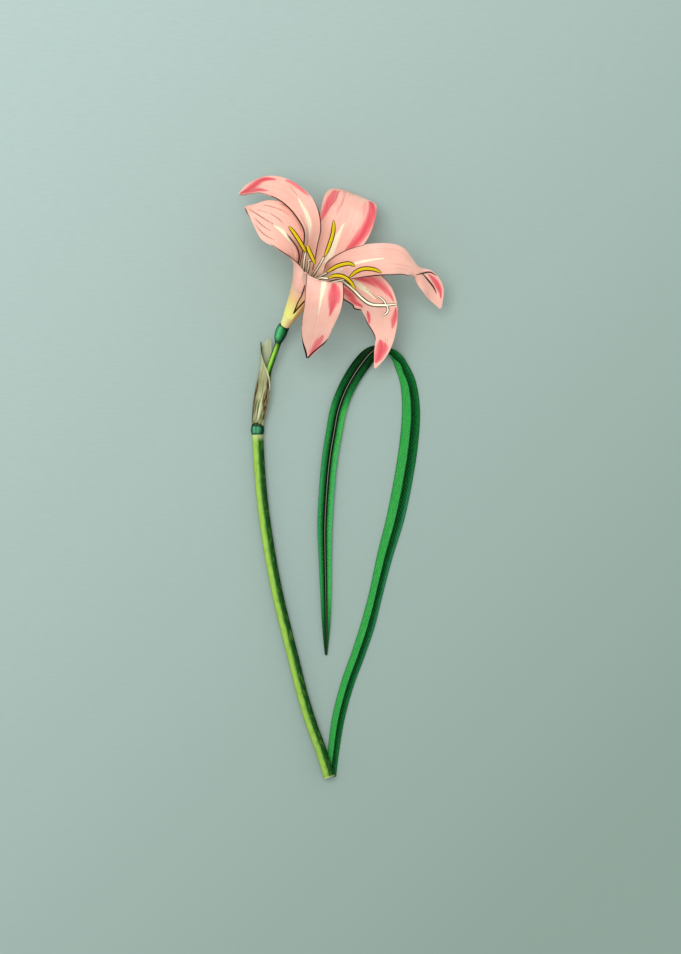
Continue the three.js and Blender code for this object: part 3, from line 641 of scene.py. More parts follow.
# The tones round the rods and the tube are painted light and shade: lit over the top, a little to the left,
# with a painted highlight on the stalks, collar and seed case, and in shade on the right and underneath
SCAPE_SKIN = round_skin("waxy_scape_skin", (
    (0.0, "#174418"), (0.22, "#6f9a3a"), (0.28, "#8fb84a"), (0.37, "#a3cf59"), (0.46, "#93bd4d"),
    (0.5, "#679a3b"),
    (0.525, "#1f5520"), (0.6, "#134216"), (0.7, "#0d3712"), (0.76, "#0a2f0f"), (1.0, "#174418")),
    "#6a9a38", (9.0, 40.0, 1.0), Roughness=0.5, Specular_IOR_Level=0.05)
PEDICEL_SKIN = round_skin("waxy_pedicel_skin", (
    (0.0, "#14380f"), (0.35, "#173f12"), (0.375, "#5d9a2c"), (0.4, "#aadf57"), (0.49, "#98d24b"),
    (0.52, "#6aa935"),
    (0.555, "#4c8a2a"), (0.58, "#164412"), (0.7, "#0f330d"), (1.0, "#14380f")), "#7fb43f",
    (9.0, 6.0, 1.0), Roughness=0.5,
    Specular_IOR_Level=0.05)
COLLAR_SKIN = round_skin("collar_skin", (
    (0.0, "#0d3a26"), (0.32, "#07301c"), (0.36, "#2a7350"), (0.41, "#6bac8a"), (0.46, "#33815a"),
    (0.52, "#4f946c"),
    (0.57, "#1c6540"), (0.61, "#08391f"), (0.66, "#04200f"), (1.0, "#0d3a26")), "#1f6b48",
    (12.0, 3.0, 1.0), Roughness=0.45,
    Specular_IOR_Level=0.06)
OVARY_SKIN = round_skin("ovary_skin", (
    (0.0, "#0b3a1e"), (0.3, "#0c3f22"), (0.335, "#2f9458"), (0.38, "#48ab6c"), (0.44, "#66c67c"),
    (0.48, "#3f9f5e"),
    (0.53, "#1f7340"), (0.57, "#0f4f29"), (0.61, "#04250f"), (1.0, "#0b3a1e")), "#237a46", (12.0, 3.0, 1.0),
    Roughness=0.4, Specular_IOR_Level=0.08)
TUBE_SKIN = round_skin("tube_skin", (
    (0.0, "#c79a6c"), (0.24, "#e9ea86"), (0.3, "#f6f99a"), (0.46, "#f8f59c"), (0.5, "#f0dd96"),
    (0.55, "#e9c78c"),
    (0.62, "#d3a878"), (0.68, "#b5a06c"), (0.73, "#4a4a24"), (1.0, "#c79a6c")), "#e2d68c",
    (12.0, 2.0, 1.0), Roughness=0.6, Specular_IOR_Level=0.04)
# Round the filaments and the style painted shade leaves only a cream band along the top
FILAMENT_SKIN = round_skin("filament_skin", (
    (0.0, "#120b07"), (0.4, "#1a110b"), (0.415, "#8f7f5c"), (0.43, "#fdf3d0"), (0.5, "#fffbe6"),
    (0.57, "#fdf3d0"),
    (0.585, "#8f7f5c"), (0.6, "#1a110b"), (1.0, "#120b07")), "#f0e0b0", (3.0, 6.0, 1.0), Roughness=0.5,
    Specular_IOR_Level=0.03)
POLLEN = pollen_skin()
SPATHE_PAPER = papery_sheet()
LEAF_SKIN = leaf_skin()

# Petals

def petal_point(stations, u, v):
    """Point on a petal's inner face: u runs from claw to tip, v from the left margin to the right."""
    row = along(stations, u)
    ahead = heading(stations, u)
    face = Vector(row[3:6])
    face = (face - ahead * face.dot(ahead)).normalized()
    side = ahead.cross(face)
    width, degrees = (row[7], row[9]) if v > 0 else (row[6], row[8])
    curl = math.radians(0.01 if abs(degrees) < 0.01 else degrees)
    turned = curl * abs(v)
    return Vector(row[:3]) + side * (math.copysign(1, v) * width * math.sin(turned) / curl) \
        + face * (width * (1 - math.cos(turned)) / curl)


def petal_normal(stations, u, v):
    step = 0.004

    def point(a, b):
        return petal_point(stations, min(max(a, 0), 1), min(max(b, -1), 1))
    lengthways = point(u + step, v) - point(u - step, v)
    sideways = point(u, v + step) - point(u, v - step)
    return sideways.cross(lengthways).normalized()


def petal_stations(azimuth, inner, claw_left, claw_right, blade):
    claw = []
    for (height, outer), left, right in zip(FUNNEL, claw_left, claw_right):
        radius = outer - SOLID_BLADE - (RING_STEP if inner else 0)
        point, out = in_flower(height, radius, azimuth)
        claw.append((*point, *(-out), radius * math.radians(left), radius * math.radians(right), left, right))
    return claw + blade


TUCK = 0.5           # how far the margins of the outer claws lie in against the inner ones
PETAL_COLUMNS = 40
PETAL_ROWS = 110


def petal_columns(across):
    """Columns stand closer together towards the margins."""
    s = 2 * across - 1
    return math.copysign(1 - (1 - abs(s)) ** 1.4, s)


def petal(node, azimuth, inner, claw_left, claw_right, blade):
    stations = petal_stations(azimuth, inner, claw_left, claw_right, blade)
    mouth = len(claw_left) / (len(stations) - 1)

    def surface(u, v, depth=0.0):
        """Point on the petal's inner face, or a depth behind it."""
        point = petal_point(stations, u, v)
        free = float(eased((u - mouth) / 0.15))
        tip = float(eased((1 - u) / 0.08))
        groove = -0.2 * math.exp(-(v / 0.09) ** 2)
        ripple = 0.2 * free * v * v * math.sin(u * 31 + azimuth + 2 * v)
        grown = float(eased(u * (len(stations) - 1)))
        tuck = 0 if inner else TUCK * abs(v) ** 3 * grown * (1 - float(eased((u - mouth + 0.12) / 0.12)))
        return point + petal_normal(stations, u, v) * ((groove + ripple) * tip + tuck - depth)
    piece = grid("petal_" + node[6:], PETAL_COLUMNS, PETAL_ROWS,
                 lambda across, ahead: surface(ahead, petal_columns(across)))
    piece.data.materials.append(PETAL_INSIDE)
    piece.data.materials.append(PETAL_OUTSIDE)
    columns = [petal_columns(k / PETAL_COLUMNS) for k in range(PETAL_COLUMNS + 1)]
    layer(piece, "across", np.tile(columns, PETAL_ROWS + 1))
    layer(piece, "ahead", np.repeat(np.arange(PETAL_ROWS + 1) / PETAL_ROWS, PETAL_COLUMNS + 1))
    apply_modifier(piece, "SOLIDIFY", thickness=PETAL_THICKNESS * MM, offset=-1, material_offset=1)
    apply_modifier(piece, "SUBSURF", levels=1, render_levels=1)
    bpy.ops.object.shade_smooth()
    return piece, surface, mouth


# Brush marks on the petals, each a strength and then marks along, across and half width. The rose
# flushes, the pale stripe on the midrib, which is a painted highlight, brown painted shade, single veins,
# and the dark line of a margin or a crease, which is painted shade.
BRUSH_MARKS = {
    "tepal_inner_left": {
        "rose": [
            (1.0, (0.985, -0.15, 0.2), (0.94, -0.2, 0.75), (0.9, 0.02, 1.35), (0.873, 0.32, 1.3),
             (0.847, 0.57, 1.0),
             (0.822, 0.62, 0.6), (0.79, 0.64, 0.2)),
            (0.9, (0.935, -0.55, 0.45), (0.888, -0.51, 0.85), (0.85, -0.61, 0.7), (0.812, -0.66, 0.4),
             (0.79, -0.62, 0.15)),
            (0.75, (0.755, 0.84, 0.3), (0.73, 0.9, 0.85), (0.707, 0.9, 1.05), (0.685, 0.86, 0.75),
             (0.66, 0.88, 0.2)),
        ],
        "stripe": [
            (1.0, (0.674, 0.14, 0.1), (0.641, -0.03, 0.45), (0.601, -0.07, 0.75), (0.563, -0.08, 0.8),
             (0.533, -0.12, 0.5), (0.49, -0.06, 0.2)),
        ],
        "shade": [
            (0.45, (0.725, 0.48, 0.2), (0.706, 0.34, 0.3), (0.68, 0.22, 0.15)),
            (0.35, (0.604, -0.6, 0.2), (0.554, -0.6, 0.35), (0.498, -0.42, 0.35), (0.455, -0.16, 0.15)),
        ],
        "line": [
            (1.0, (0.36, -1, 0.24), (0.5, -1, 0.32), (0.66, -1, 0.32), (0.76, -1, 0.2)),
            (0.75, (0.76, -1, 0.14), (0.88, -1, 0.14), (0.99, -1, 0.2)),
            (1.0, (0.36, 1, 0.28), (0.48, 1, 0.36), (0.58, 1, 0.36), (0.64, 1, 0.14)),
        ],
    },
    "tepal_outer_left": {
        "stripe": [(1.0, (0.698, -0.01, 0.15), (0.654, 0.04, 0.5), (0.601, 0.07, 0.6),
                    (0.548, 0.11, 0.35), (0.51, 0.19, 0.12))],
        "shade": [
            (0.65, (0.584, 0.12, 0.3), (0.534, 0.22, 0.8), (0.49, 0.5, 1.05), (0.45, 0.75, 1.05)),
            (0.3, (0.74, 0.9, 0.4), (0.676, 0.92, 0.7), (0.62, 0.88, 0.5), (0.56, 0.86, 0.3)),
        ],
        "vein": [
            (0.95, (0.93, -0.19, 0.06), (0.801, -0.11, 0.16), (0.71, 0.01, 0.08)),
            (0.6, (0.839, 0.64, 0.06), (0.794, 0.63, 0.15), (0.733, 0.66, 0.13), (0.676, 0.7, 0.06)),
            (0.45, (0.762, 0.88, 0.06), (0.722, 0.9, 0.13), (0.678, 0.92, 0.06)),
            (0.75, (0.769, 0.29, 0.06), (0.712, 0.31, 0.16), (0.657, 0.31, 0.06)),
            (0.5, (0.864, 0.21, 0.06), (0.809, 0.24, 0.12), (0.769, 0.29, 0.06)),
            (0.85, (0.839, -0.58, 0.06), (0.766, -0.49, 0.16), (0.685, -0.34, 0.06)),
            (0.85, (0.79, -0.83, 0.06), (0.712, -0.73, 0.16), (0.63, -0.62, 0.06)),
        ],
        "line": [
            (1.0, (0.618, 0.15, 0.08), (0.556, 0.16, 0.2), (0.507, 0.28, 0.26), (0.46, 0.5, 0.3),
             (0.42, 0.62, 0.3)),
            (0.95, (0.3, -1, 0.24), (0.45, -1, 0.34), (0.54, -1, 0.28), (0.62, -1, 0.1)),
            (1.0, (0.86, -1, 0.08), (0.93, -1, 0.3), (0.98, -1, 0.3)),
        ],
        "back_line": [(1.0, (0.075, -1, 0.15), (0.11, -1, 0.26), (0.2, -1, 0.3), (0.3, -1, 0.3),
                       (0.38, -1, 0.22))],
    },
    "tepal_outer_top": {
        "rose": [
            (0.85, (0.79, -0.66, 0.9), (0.734, -0.69, 1.25), (0.689, -0.76, 1.15), (0.648, -0.83, 0.8),
             (0.605, -0.89, 0.25)),
            (0.4, (0.85, -0.38, 0.3), (0.745, -0.24, 0.6), (0.709, -0.28, 0.6), (0.67, -0.31, 0.25)),
            (0.45, (0.78, 0.6, 0.6), (0.721, 0.63, 1.3), (0.68, 0.68, 1.4), (0.64, 0.7, 0.8)),
            (1.0, (0.8, 0.8, 0.6), (0.747, 0.84, 1.2), (0.707, 0.84, 1.4), (0.669, 0.82, 1.4),
             (0.631, 0.79, 1.3),
             (0.589, 0.72, 1.1), (0.551, 0.66, 0.65), (0.52, 0.65, 0.2)),
        ],
        "stripe": [(1.0, (0.652, 0.09, 0.08), (0.616, 0.09, 0.4), (0.579, 0.09, 0.8), (0.533, 0.14, 0.9),
                    (0.46, 0.32, 0.7))],
        "vein": [
            (0.6, (0.826, -0.54, 0.06), (0.746, -0.53, 0.15), (0.704, -0.63, 0.15), (0.655, -0.74, 0.06)),
            (0.4, (0.86, -0.3, 0.06), (0.773, -0.24, 0.12), (0.715, -0.23, 0.06)),
        ],
        "line": [(0.9, (0.36, -1, 0.26), (0.48, -1, 0.32), (0.58, -1, 0.32), (0.64, -1, 0.12))],
    },
    "tepal_inner_right": {
        "rose": [
            (1.0, (0.835, -0.53, 0.2), (0.874, -0.53, 0.65), (0.911, -0.55, 0.75), (0.938, -0.6, 0.4),
             (0.96, -0.57, 0.15)),
            (0.25, (0.574, 0.9, 0.2), (0.635, 0.9, 0.3), (0.71, 0.85, 0.15)),
        ],
        "stripe": [
            (1.0, (0.56, -0.06, 0.1), (0.52, -0.03, 0.3), (0.487, -0.01, 0.45), (0.44, 0.04, 0.45)),
            (0.6, (0.41, 0.1, 0.5), (0.35, 0.15, 0.8), (0.28, 0.1, 0.8)),
        ],
        "vein": [
            (0.22, (0.532, -0.66, 0.06), (0.576, -0.64, 0.12), (0.638, -0.57, 0.12), (0.709, -0.4, 0.06)),
            (0.2, (0.559, 0.3, 0.06), (0.619, 0.25, 0.12), (0.691, 0.25, 0.06)),
            (0.2, (0.552, 0.62, 0.06), (0.625, 0.55, 0.12), (0.724, 0.45, 0.06)),
        ],
        "line": [
            (1.0, (0.801, -0.15, 0.15), (0.849, -0.12, 0.28), (0.899, -0.13, 0.26), (0.935, -0.11, 0.12)),
            (1.0, (0.76, 0.45, 0.14), (0.8, -0.28, 0.26), (0.835, -0.78, 0.26), (0.87, -0.93, 0.1)),
            (0.85, (0.33, -1, 0.24), (0.42, -1, 0.28), (0.5, -1, 0.16)),
            (1.0, (0.44, 1, 0.14), (0.52, 1, 0.3), (0.62, 1, 0.28), (0.7, 1, 0.28), (0.78, 1, 0.32)),
        ],
    },
    "tepal_outer_right": {
        "rose": [
            (0.95, (0.42, 0.1, 0.5), (0.445, 0.4, 1.0), (0.47, 0.65, 0.95), (0.52, 0.73, 0.65),
             (0.593, 0.82, 0.2)),
            (0.8, (0.49, -0.32, 0.5), (0.533, -0.38, 1.25), (0.572, -0.52, 1.3), (0.611, -0.62, 1.05),
             (0.646, -0.74, 0.7),
             (0.68, -0.83, 0.2)),
            (0.9, (0.712, -0.88, 0.25), (0.741, -0.79, 0.75), (0.762, -0.69, 0.75), (0.79, -0.62, 0.2)),
            (0.95, (0.67, 0.76, 0.2), (0.702, 0.78, 0.55), (0.732, 0.82, 0.45), (0.755, 0.88, 0.15)),
            (1.0, (0.845, 0.44, 0.2), (0.874, 0.24, 1.1), (0.9, 0.15, 1.35), (0.933, 0.2, 1.05),
             (0.965, 0.4, 0.35)),
            (0.9, (0.858, -0.11, 0.25), (0.878, -0.34, 0.7), (0.905, -0.24, 0.8)),
        ],
        "stripe": [(1.0, (0.47, -0.25, 0.5), (0.515, -0.04, 0.95), (0.556, 0.06, 0.7), (0.6, 0.1, 0.35),
                    (0.634, 0.07, 0.12))],
        "vein": [
            (0.6, (0.547, -0.01, 0.06), (0.594, 0.05, 0.13), (0.652, -0.07, 0.06)),
            (0.5, (0.826, -0.1, 0.08), (0.852, -0.12, 0.08)),
            (0.5, (0.829, -0.34, 0.08), (0.855, -0.34, 0.08)),
        ],
        "line": [
            (1.0, (0.36, 1, 0.28), (0.48, 1, 0.34), (0.58, 1, 0.34), (0.64, 1, 0.2)),
            (1.0, (0.7, 1, 0.1), (0.77, 1, 0.34), (0.83, 1, 0.3), (0.86, 1, 0.08)),
            (1.0, (0.42, -1, 0.3), (0.54, -1, 0.34), (0.62, -1, 0.1)),
            (0.5, (0.7, -1, 0.1), (0.8, -1, 0.2), (0.88, -1, 0.1)),
        ],
        "back_line": [(1.0, (0.065, 1, 0.15), (0.1, 1, 0.26), (0.167, 1, 0.3), (0.22, 1, 0.28),
                       (0.27, 1, 0.12))],
    },
    "tepal_inner_front": {
        "rose": [
            (1.0, (0.64, -0.56, 0.9), (0.672, -0.58, 1.45), (0.701, -0.58, 1.4), (0.736, -0.57, 0.85),
             (0.78, -0.59, 0.2)),
            (0.75, (0.875, -0.6, 0.4), (0.908, -0.5, 1.1), (0.945, -0.5, 1.0), (0.98, -0.5, 0.35)),
        ],
        "stripe": [
            (1.0, (0.6, -0.16, 0.85), (0.616, -0.12, 0.85), (0.661, -0.06, 0.75), (0.701, -0.02, 0.5),
             (0.74, 0, 0.3),
             (0.79, -0.01, 0.06)),
            (0.8, (0.572, 0.85, 0.1), (0.568, 0.4, 0.16), (0.565, -0.1, 0.18), (0.565, -0.7, 0.14)),
        ],
        "line": [
            (0.95, (0.55, 0.96, 0.2), (0.548, 0.5, 0.26), (0.545, 0.05, 0.28), (0.535, -0.4, 0.3),
             (0.545, -0.96, 0.26)),
            (0.8, (0.56, 1, 0.24), (0.7, 1, 0.2), (0.84, 1, 0.16)),
            (1.0, (0.84, 1, 0.16), (0.92, 1, 0.32), (1, 0.5, 0.3)),
            (1.0, (0.53, -1, 0.3), (0.6, -1, 0.34), (0.68, -1, 0.3), (0.75, -1, 0.1)),
            (0.95, (0.83, -1, 0.1), (0.89, -1, 0.28), (1, -0.5, 0.3)),
        ],
    },
}
ROSE_FEATHER = 0.92      # rose and shade fade softly, and the other marks have firmer edges
ROSE_SPREAD = 1.25       # a flush's faint edge lies this much further out than its mark
FIRM_FEATHER = 0.35
THROAT_TOP = 30          # how far up the flower's axis the pale throat reaches, and over what length it fades
THROAT_FADE = 12
THROAT_REACH = 0.14      # share of the petal over which it runs out past the claw
THROAT_STRENGTH = 0.75
CLAW_COLOUR_TOP = 25     # height at which the colours of the claws have run out
TAN_START = 290          # azimuth from which the claws turn tan: painted shade on their shaded side
TAN_FADE = 25
TAN_TOP = 20
TAN_FADE_UP = 4
TAN_STRENGTH = 0.95


def widened(flushes):
    return [(strength, *((u, v, half * ROSE_SPREAD) for u, v, half in path)) for strength, *path in flushes]


for node, settings in PETALS.items():
    piece, surface, mouth = petal(node, *settings)
    spots = spots_of(piece)
    across, ahead = read_layer(piece, "across"), read_layer(piece, "ahead")
    marks = dict(BRUSH_MARKS[node])
    marks["rose"] = widened(marks.get("rose", []))

    def behind(u, v):
        return surface(u, v, PETAL_THICKNESS)
    for name in ("rose", "stripe", "shade", "vein", "line", "back_line"):
        layer(piece, name, brushed(spots, marks.get(name, []), behind if name == "back_line" else surface,
                                   ROSE_FEATHER if name in ("rose", "shade") else FIRM_FEATHER))
    from_axis = spots - np.array(FLOWER_FOOT)
    height = from_axis @ np.array(FLOWER_AXIS)
    azimuth = np.degrees(np.arctan2(from_axis @ np.array(FLOWER_BACK),
                                    from_axis @ np.array(FLOWER_RIGHT))) % 360
    layer(piece, "rise", np.where(ahead < 0.5, height / CLAW_COLOUR_TOP, 1))
    past = eased((ahead - mouth) / THROAT_REACH)
    layer(piece, "throat", THROAT_STRENGTH * eased((THROAT_TOP - height) / THROAT_FADE) * (1 - past))
    # Painted shade: tan on the outside of the outer right petal's claw, on its shaded side
    layer(piece, "tan", (node == "tepal_outer_right") * eased((azimuth - TAN_START) / TAN_FADE)
          * eased((TAN_TOP - height) / TAN_FADE_UP) * TAN_STRENGTH)
    corners = np.empty(len(piece.data.loops), dtype=np.int32)
    piece.data.loops.foreach_get("vertex_index", corners)
    piece.data.uv_layers["UVMap"].data.foreach_set(
        "uv", np.stack([(across[corners] + 1) / 2, ahead[corners]], axis=1).ravel())
    finished(piece, node, "tepal")

# Stamens and style

ANTHER_GROOVE = 0.16      # depth of the groove along an anther's top, as a share of its radius


def anther_radius(t, angle):
    """An anther narrows to both ends, and has a groove where its two halves meet."""
    spindle = max(1 - abs(2 * t - 1) ** 3, 0) ** 0.6
    return ANTHER_RADIUS * spindle * (1 - ANTHER_GROOVE * math.exp(-((angle - math.pi / 2) / 0.4) ** 2))


def lobe_radius(t, angle):
    """A stigma lobe narrows a little, then closes round its tip."""
    return STIGMA_RADIUS * (1 - 0.2 * t) * min(1, 2.2 * (1 - t) ** 0.5)


for k, (azimuth, free, tip) in enumerate(STAMENS, 1):
    root = [tuple(in_flower(height, ring, azimuth)[0]) for height, ring in zip(FILAMENT_RISE, FILAMENT_RING)]
    piece = rod(f"stamen_stalk_{k}", root + free, lambda t, angle: between(FILAMENT_RADII, t), 24, 60)
    finished(piece, f"filament_{k}", "filament", FILAMENT_SKIN)
    piece = rod(f"pollen_case_{k}", tip, anther_radius, 32, 64, flatness=0.85)
    finished(piece, f"anther_{k}", "anther", POLLEN)

root = [tuple(in_flower(height, 0, 0)[0]) for height in STYLE_RISE]
stem = rod("style_stem", root + STYLE, lambda t, angle: STYLE_RADIUS, 24, 120)
lobes = [rod(f"stigma_{k}", lobe, lobe_radius, 24, 28) for k, lobe in enumerate(STIGMA_LOBES)]
bpy.ops.object.select_all(action="DESELECT")
for piece in [stem, *lobes]:
    piece.select_set(True)
bpy.context.view_layer.objects.active = stem
bpy.ops.object.join()
finished(stem, "style", "style", FILAMENT_SKIN)

# Tube, ovary, stalks

tube_ends = [tuple(in_flower(height, 0, 0)[0]) for height in TUBE_RISE]
piece = rod("flower_tube", tube_ends,
            lambda t, angle: between((TUBE_FOOT_RADIUS, TUBE_TOP_RADIUS), t), 48, 24)
finished(piece, "perianth_tube", "tube", TUBE_SKIN)
piece = rod("seed_case", OVARY,
            lambda t, angle: between(OVARY_RADII, t) * (1 + 0.035 * math.cos(3 * angle)), 48, 40)
# Painted shade at both ends of the seed case, where it meets the stalk and the tube
banded(piece, "dark", OVARY, [(0, 0.95), (0.12, 0.7), (0.24, 0.1), (0.3, 0), (0.84, 0), (0.93, 0.6),
                              (1, 0.95)])
finished(piece, "ovary", "ovary", OVARY_SKIN)
piece = rod("flower_stalk", PEDICEL, lambda t, angle: PEDICEL_RADIUS, 24, 60)
# Painted shade in a band along the stalk and at its top, where it meets the seed case
banded(piece, "dark", PEDICEL, [(0.36, 0.95), (0.42, 0.7), (0.5, 0.15), (0.6, 0), (0.94, 0), (1, 0.7)])
finished(piece, "pedicel", "stalk", PEDICEL_SKIN)
piece = rod("collar_ring", COLLAR, lambda t, angle: between(COLLAR_RADII, t), 40, 24)
# Painted shade at both ends of the collar, where it meets the scape and the spathe
banded(piece, "dark", COLLAR, [(0, 0.9), (0.14, 0.7), (0.26, 0), (0.7, 0), (0.82, 0.7), (0.88, 0.95),
                               (1, 0.95)])
finished(piece, "spathe_collar", "collar", COLLAR_SKIN)
piece = rod("scape_stem", SCAPE, lambda t, angle: SCAPE_RADIUS, 40, 160)
banded(piece, "pale", SCAPE, [(0, 0.5), (0.004, 0), (0.98, 0), (0.99, 0.4), (1, 0.4)])
# Painted shade that deepens towards the cut end
banded(piece, "dark", SCAPE, [(0, 0.3), (0.02, 0.1), (0.1, 0.12), (0.4, 0.06), (0.7, 0)])
finished(piece, "scape", "stalk", SCAPE_SKIN)

# Spathe

def spathe_point(t, v, offset=0.0):
    right = between(SPATHE_RIGHT, t / SLIT_START)
    angle = SPATHE_LEFT * v if v < 0 else right * v
    angles, reaches = zip(*SPATHE_REACH)
    place = t * float(np.interp(angle, angles, reaches))
    ahead = heading(SPATHE_AXIS, place)
    across = ahead.cross(Vector((0, 0, 1))).normalized()
    over = across.cross(ahead)
    turn = math.radians(angle)
    radius = between(SPATHE_RADII, place) + offset
    return Vector(along(SPATHE_AXIS, place)) + across * (radius * math.sin(turn)) \
        - over * (radius * math.cos(turn))


def spathe_sheet(across, t):
    """The sheet with its ribs, a little crumpled towards its dry margin."""
    rib = 0.05 * math.cos(math.radians(across * 345) * 9)
    crumple = 0.12 * t * t * math.sin(across * 23 + 4 * t)
    return spathe_point(t, 2 * across - 1, rib + crumple)


SPATHE_COLUMNS = 96
SPATHE_ROWS = 72
# Streaks on the spathe: place along and across it, and half width. The white streaks are painted
# highlights and the dark ones painted shade. Its middle, as seen from above, is at -0.72, its left edge at
# -0.38 and its right edge at -0.95.
SPATHE_MARKS = {
    "brown": [
        (1.0, (0.04, -0.44, 0.6), (0.2, -0.45, 0.9), (0.4, -0.46, 0.9), (0.55, -0.5, 0.7),
         (0.72, -0.55, 0.25)),
        (1.0, (0.15, -0.93, 0.4), (0.4, -0.88, 0.85), (0.7, -0.87, 0.95), (0.94, -0.86, 0.5)),
        (0.6, (0.05, -0.25, 0.8), (0.5, -0.25, 0.8)),
    ],
    "green": [
        (1.0, (0, -0.55, 0.3), (0.2, -0.57, 0.28), (0.5, -0.6, 0.15)),
        (1.0, (0, -0.66, 0.3), (0.2, -0.66, 0.25), (0.5, -0.68, 0.12)),
        (1.0, (0, -0.79, 0.35), (0.3, -0.78, 0.3), (0.6, -0.78, 0.15)),
        (0.8, (0, -0.88, 0.4), (0.2, -0.87, 0.3), (0.4, -0.86, 0.1)),
        (0.8, (0, -0.7, 0.9), (0.06, -0.7, 0.3)),
    ],
    "white": [
        (0.85, (0.06, -0.71, 0.12), (0.25, -0.71, 0.26), (0.5, -0.73, 0.14)),
        (0.8, (0.04, -0.6, 0.08), (0.2, -0.61, 0.14), (0.4, -0.63, 0.06)),
        (0.85, (0.95, -0.44, 0.08), (0.95, -0.6, 0.16), (0.97, -0.75, 0.25), (0.98, -0.9, 0.25),
         (0.9, -0.975, 0.2)),
    ],
    "pale": [(0.85, (0.72, 0.02, 1.6), (0.86, 0.08, 2.2), (1, 0.1, 2.4)),
             (0.6, (0.8, -0.5, 1.0), (1, -0.5, 1.2))],
    "dark": [
        (1.0, (1, -0.36, 0.3), (1, -0.45, 0.36), (1, -0.6, 0.3), (1, -0.72, 0.22), (1, -0.8, 0.08)),
        (0.95, (0, -0.5, 0.3), (0.02, -0.7, 0.4), (0, -0.9, 0.3)),
    ],
}
piece = grid("papery_spathe", SPATHE_COLUMNS, SPATHE_ROWS, spathe_sheet)
apply_modifier(piece, "SOLIDIFY", thickness=SPATHE_WALL * MM, offset=0)
bpy.ops.object.shade_smooth_by_angle(angle=SMOOTH_BELOW)
spots = spots_of(piece)
for name, strokes in SPATHE_MARKS.items():
    layer(piece, name, brushed(spots, strokes, spathe_point))
finished(piece, "spathe", "spathe", SPATHE_PAPER)

# Leaf

def leaf_section(half, rise, a, under):
    """Across and out of the leaf at a from -1, its left margin, to 1, on its upper face or under it."""
    keel = KEEL_DEPTH + KEEL_GROWTH * half
    upper = rise * abs(a) ** 1.35
    thick = LEAF_MARGIN + (keel - LEAF_MARGIN) * (1 - abs(a))
    middle = upper - thick / 2
    rounded = math.sqrt(max(1 - max((abs(a) - 0.88) / 0.12, 0) ** 2, 0))
    return half * a, middle + (-0.5 if under else 0.5) * thick * rounded


LEAF_ROWS = 260
LEAF_COLUMNS = 96


LEAF_PATH = [(x, y, 0) for x, y, *_ in LEAF]


def leaf_place(row):
    """How far along the leaf a row of points lies. The first and last rows close its ends."""
    return min(max((row - 1) / (LEAF_ROWS - 2), 0), 1)


def leaf_frame(t):
    """The leaf's table at t, the way out of its channelled face, and the way to its left margin."""
    row = along(LEAF, t)
    ahead = heading(LEAF_PATH, t)
    face = Vector(row[2:5])
    face = (face - ahead * face.dot(ahead)).normalized()
    return row, face, ahead.cross(face)


def leaf_ring(t, size):
    row, face, side = leaf_frame(t)
    ring = []
    for k in range(LEAF_COLUMNS + 1):
        s = k / LEAF_COLUMNS
        under = s > 0.5
        a = math.sin((4 * s - 1 if not under else 3 - 4 * s) * math.pi / 2)
        wide, out = leaf_section(row[5], row[6], a, under)
        ring.append(Vector((row[0], row[1], 0)) + side * wide + face * out)
    lowest = min(point.z for point in ring)
    centre = sum(ring, Vector()) / len(ring)
    return [centre + (point - centre) * size - Vector((0, 0, lowest)) for point in ring]


leaf_rings = [leaf_ring(leaf_place(row), 0 if row in (0, LEAF_ROWS) else 1) for row in range(LEAF_ROWS + 1)]
piece = grid("strap_leaf", LEAF_COLUMNS, LEAF_ROWS,
             lambda across, ahead: leaf_rings[round(ahead * LEAF_ROWS)][round(across * LEAF_COLUMNS)],
             tube=True)
bpy.ops.object.shade_smooth_by_angle(angle=SMOOTH_BELOW)

# Tone across the leaf, painted light and shade, from its right margin to its left one as it is seen from
# above, from 0, almost black, to 1, fresh green: on the way up, where the keel is uppermost, at the arch,
# and on the way back.
KEEL_TONES = ((-1, 0.38), (-0.92, 0.56), (-0.75, 0.54), (-0.5, 0.42), (-0.25, 0.3), (-0.05, 0.24), (0.0, 0.4),
              (0.04, 0.76), (0.12, 0.8), (0.85, 0.8), (1, 0.64))
ARCH_TONES = ((-1, 0.16), (-0.5, 0.3), (-0.12, 0.2), (0.12, 0.16), (0.5, 0.26), (1, 0.12))
BACK_TONES = ((-1, 0.75), (-0.85, 0.92), (-0.5, 0.85), (-0.3, 0.6), (-0.2, 0.2), (0.06, 0.1),
              (0.22, 0.22), (0.4, 0.54), (0.65, 0.72), (0.9, 0.76), (1, 0.46))
TIP_TONES = ((-1, 0.3), (-0.6, 0.4), (-0.2, 0.1), (0.2, 0.1), (0.6, 0.35), (1, 0.25))
# Which of them holds where: number of the leaf's station, then the shares of the four
TONE_SHARES = ((0, 1, 0, 0, 0), (14.7, 1, 0, 0, 0), (15.1, 0, 1, 0, 0), (18, 0, 1, 0, 0),
               (19.8, 0, 0.5, 0.5, 0),
               (21, 0, 0, 1, 0), (27, 0, 0, 1, 0), (29, 0, 0, 0.2, 0.8), (30, 0, 0, 0, 1))
TURN = 14.9           # station where the leaf has turned over and shows its channelled face
# Painted blue-green sheen near the margins: station and strength
BLUE_SHEEN = ((2, 0), (5, 0.7), (8, 1), (10, 0), (22, 0), (24, 1), (26, 0.8), (28, 0))
SHEEN_STRENGTH = 0.3
# Near the arch the light half spreads over the leaf: station, and how far across the boundary lies
SPLIT = ((12.6, 0), (13, -0.3), (13.4, -0.45), (13.8, -0.65), (14.3, -1), (14.6, -1.2), (14.9, -1.2), (15, 0))
# How strong the painted shade hatching is on the dark half and the light half on the way up, and beyond the
# turn
HATCH_STRENGTHS = (0.6, 0.3, 0.6)


def spread(table, values, column=1):
    return np.interp(values, [entry[0] for entry in table], [entry[column] for entry in table])


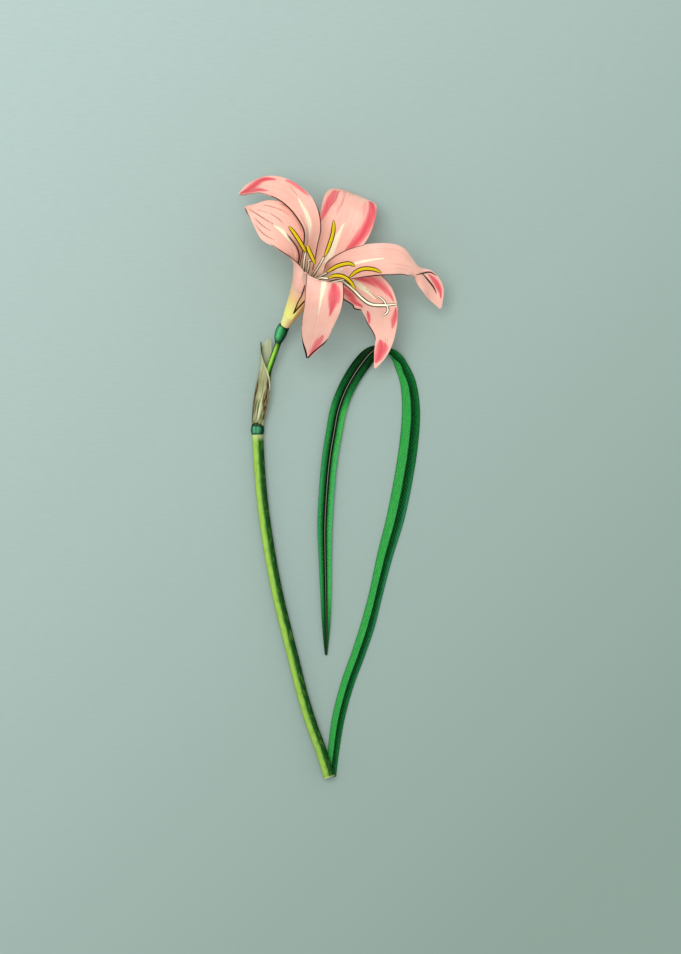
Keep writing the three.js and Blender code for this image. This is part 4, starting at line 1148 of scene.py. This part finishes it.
frames = [leaf_frame(leaf_place(row)) for row in range(LEAF_ROWS + 1)]
middles = np.array([(row[0], row[1], 0) for row, _, _ in frames])
sides = np.array([side for _, _, side in frames])
halves = np.array([row[5] for row, _, _ in frames])
spots = spots_of(piece)
centres = np.array([sum(ring[:-1], Vector()) / LEAF_COLUMNS for ring in leaf_rings])
rows = np.array([np.argmin(((centres - spot) ** 2).sum(axis=1)) for spot in spots])
place = np.array([leaf_place(row) * (len(LEAF) - 1) for row in range(LEAF_ROWS + 1)])[rows]
across = ((spots - middles[rows]) * sides[rows]).sum(axis=1) / halves[rows]
shares = [spread(TONE_SHARES, place, column) for column in range(1, 5)]
split = across - spread(SPLIT, place)
layer(piece, "tone", shares[0] * spread(KEEL_TONES, split)
      + sum(share * spread(table, across) for share,
            table in zip(shares[1:], (ARCH_TONES, BACK_TONES, TIP_TONES))))
layer(piece, "across", across)
layer(piece, "rib", shares[2] + shares[1] * (place > TURN) + 0.6 * shares[3])
layer(piece, "bloom", SHEEN_STRENGTH * spread(BLUE_SHEEN, place) * eased((np.abs(across) - 0.5) / 0.4)
      * ((across < 0) | (place > TURN)))
dark_half, light_half, beyond = HATCH_STRENGTHS
layer(piece, "hatch", np.where(place > TURN, beyond, np.where(across < 0, dark_half, light_half)))
finished(piece, "leaf", "leaf", LEAF_SKIN)

# Floor and light

bpy.ops.object.select_all(action="DESELECT")
bpy.ops.mesh.primitive_plane_add(size=3, location=(0, 0, -0.0001))
floor = bpy.context.object
floor.name = "pale_floor"
bpy.ops.object.transform_apply(location=True)
material, shader = new_material("pale_sage_paper", Roughness=0.92, Specular_IOR_Level=0.1)
place = in_place(material)
# Fine level fibres of the paper, and painted shade that deepens slowly from the upper left to the lower
# right, away from the lamp
grain = noise(material, place, 1.0, 3.0, (260.0, 1400.0, 1.0))
across = add(material, "ShaderNodeVectorMath", {"operation": "DOT_PRODUCT"}, i0=place,
             i1=(0.725, -0.689, 0.0)).outputs["Value"]
colour = blended(material, ranged(material, across, -0.19, 0.15), "#b1c5c0", "#889d93")
colour = blended(material, ranged(material, grain, 0.3, 0.7, 0.0, 0.12), colour, "#8b9c95")
dress(material, shader, colour)
floor.data.materials.append(material)

world = bpy.data.worlds.new("soft_studio")
bpy.context.scene.world = world
world.use_nodes = True
world.node_tree.nodes["Background"].inputs["Color"].default_value = (1, 1, 1, 1)
world.node_tree.nodes["Background"].inputs["Strength"].default_value = 0.64
# A wide soft box high above, a little to the upper left
bpy.ops.object.light_add(type="AREA", location=(-0.2, 0.24, 1.4))
lamp = bpy.context.object
lamp.data.shape = "DISK"
lamp.data.size = 1.0
lamp.data.energy = 12.3
lamp.rotation_euler = (Vector((0, 0.02, 0)) - lamp.location).to_track_quat("-Z", "Y").to_euler()
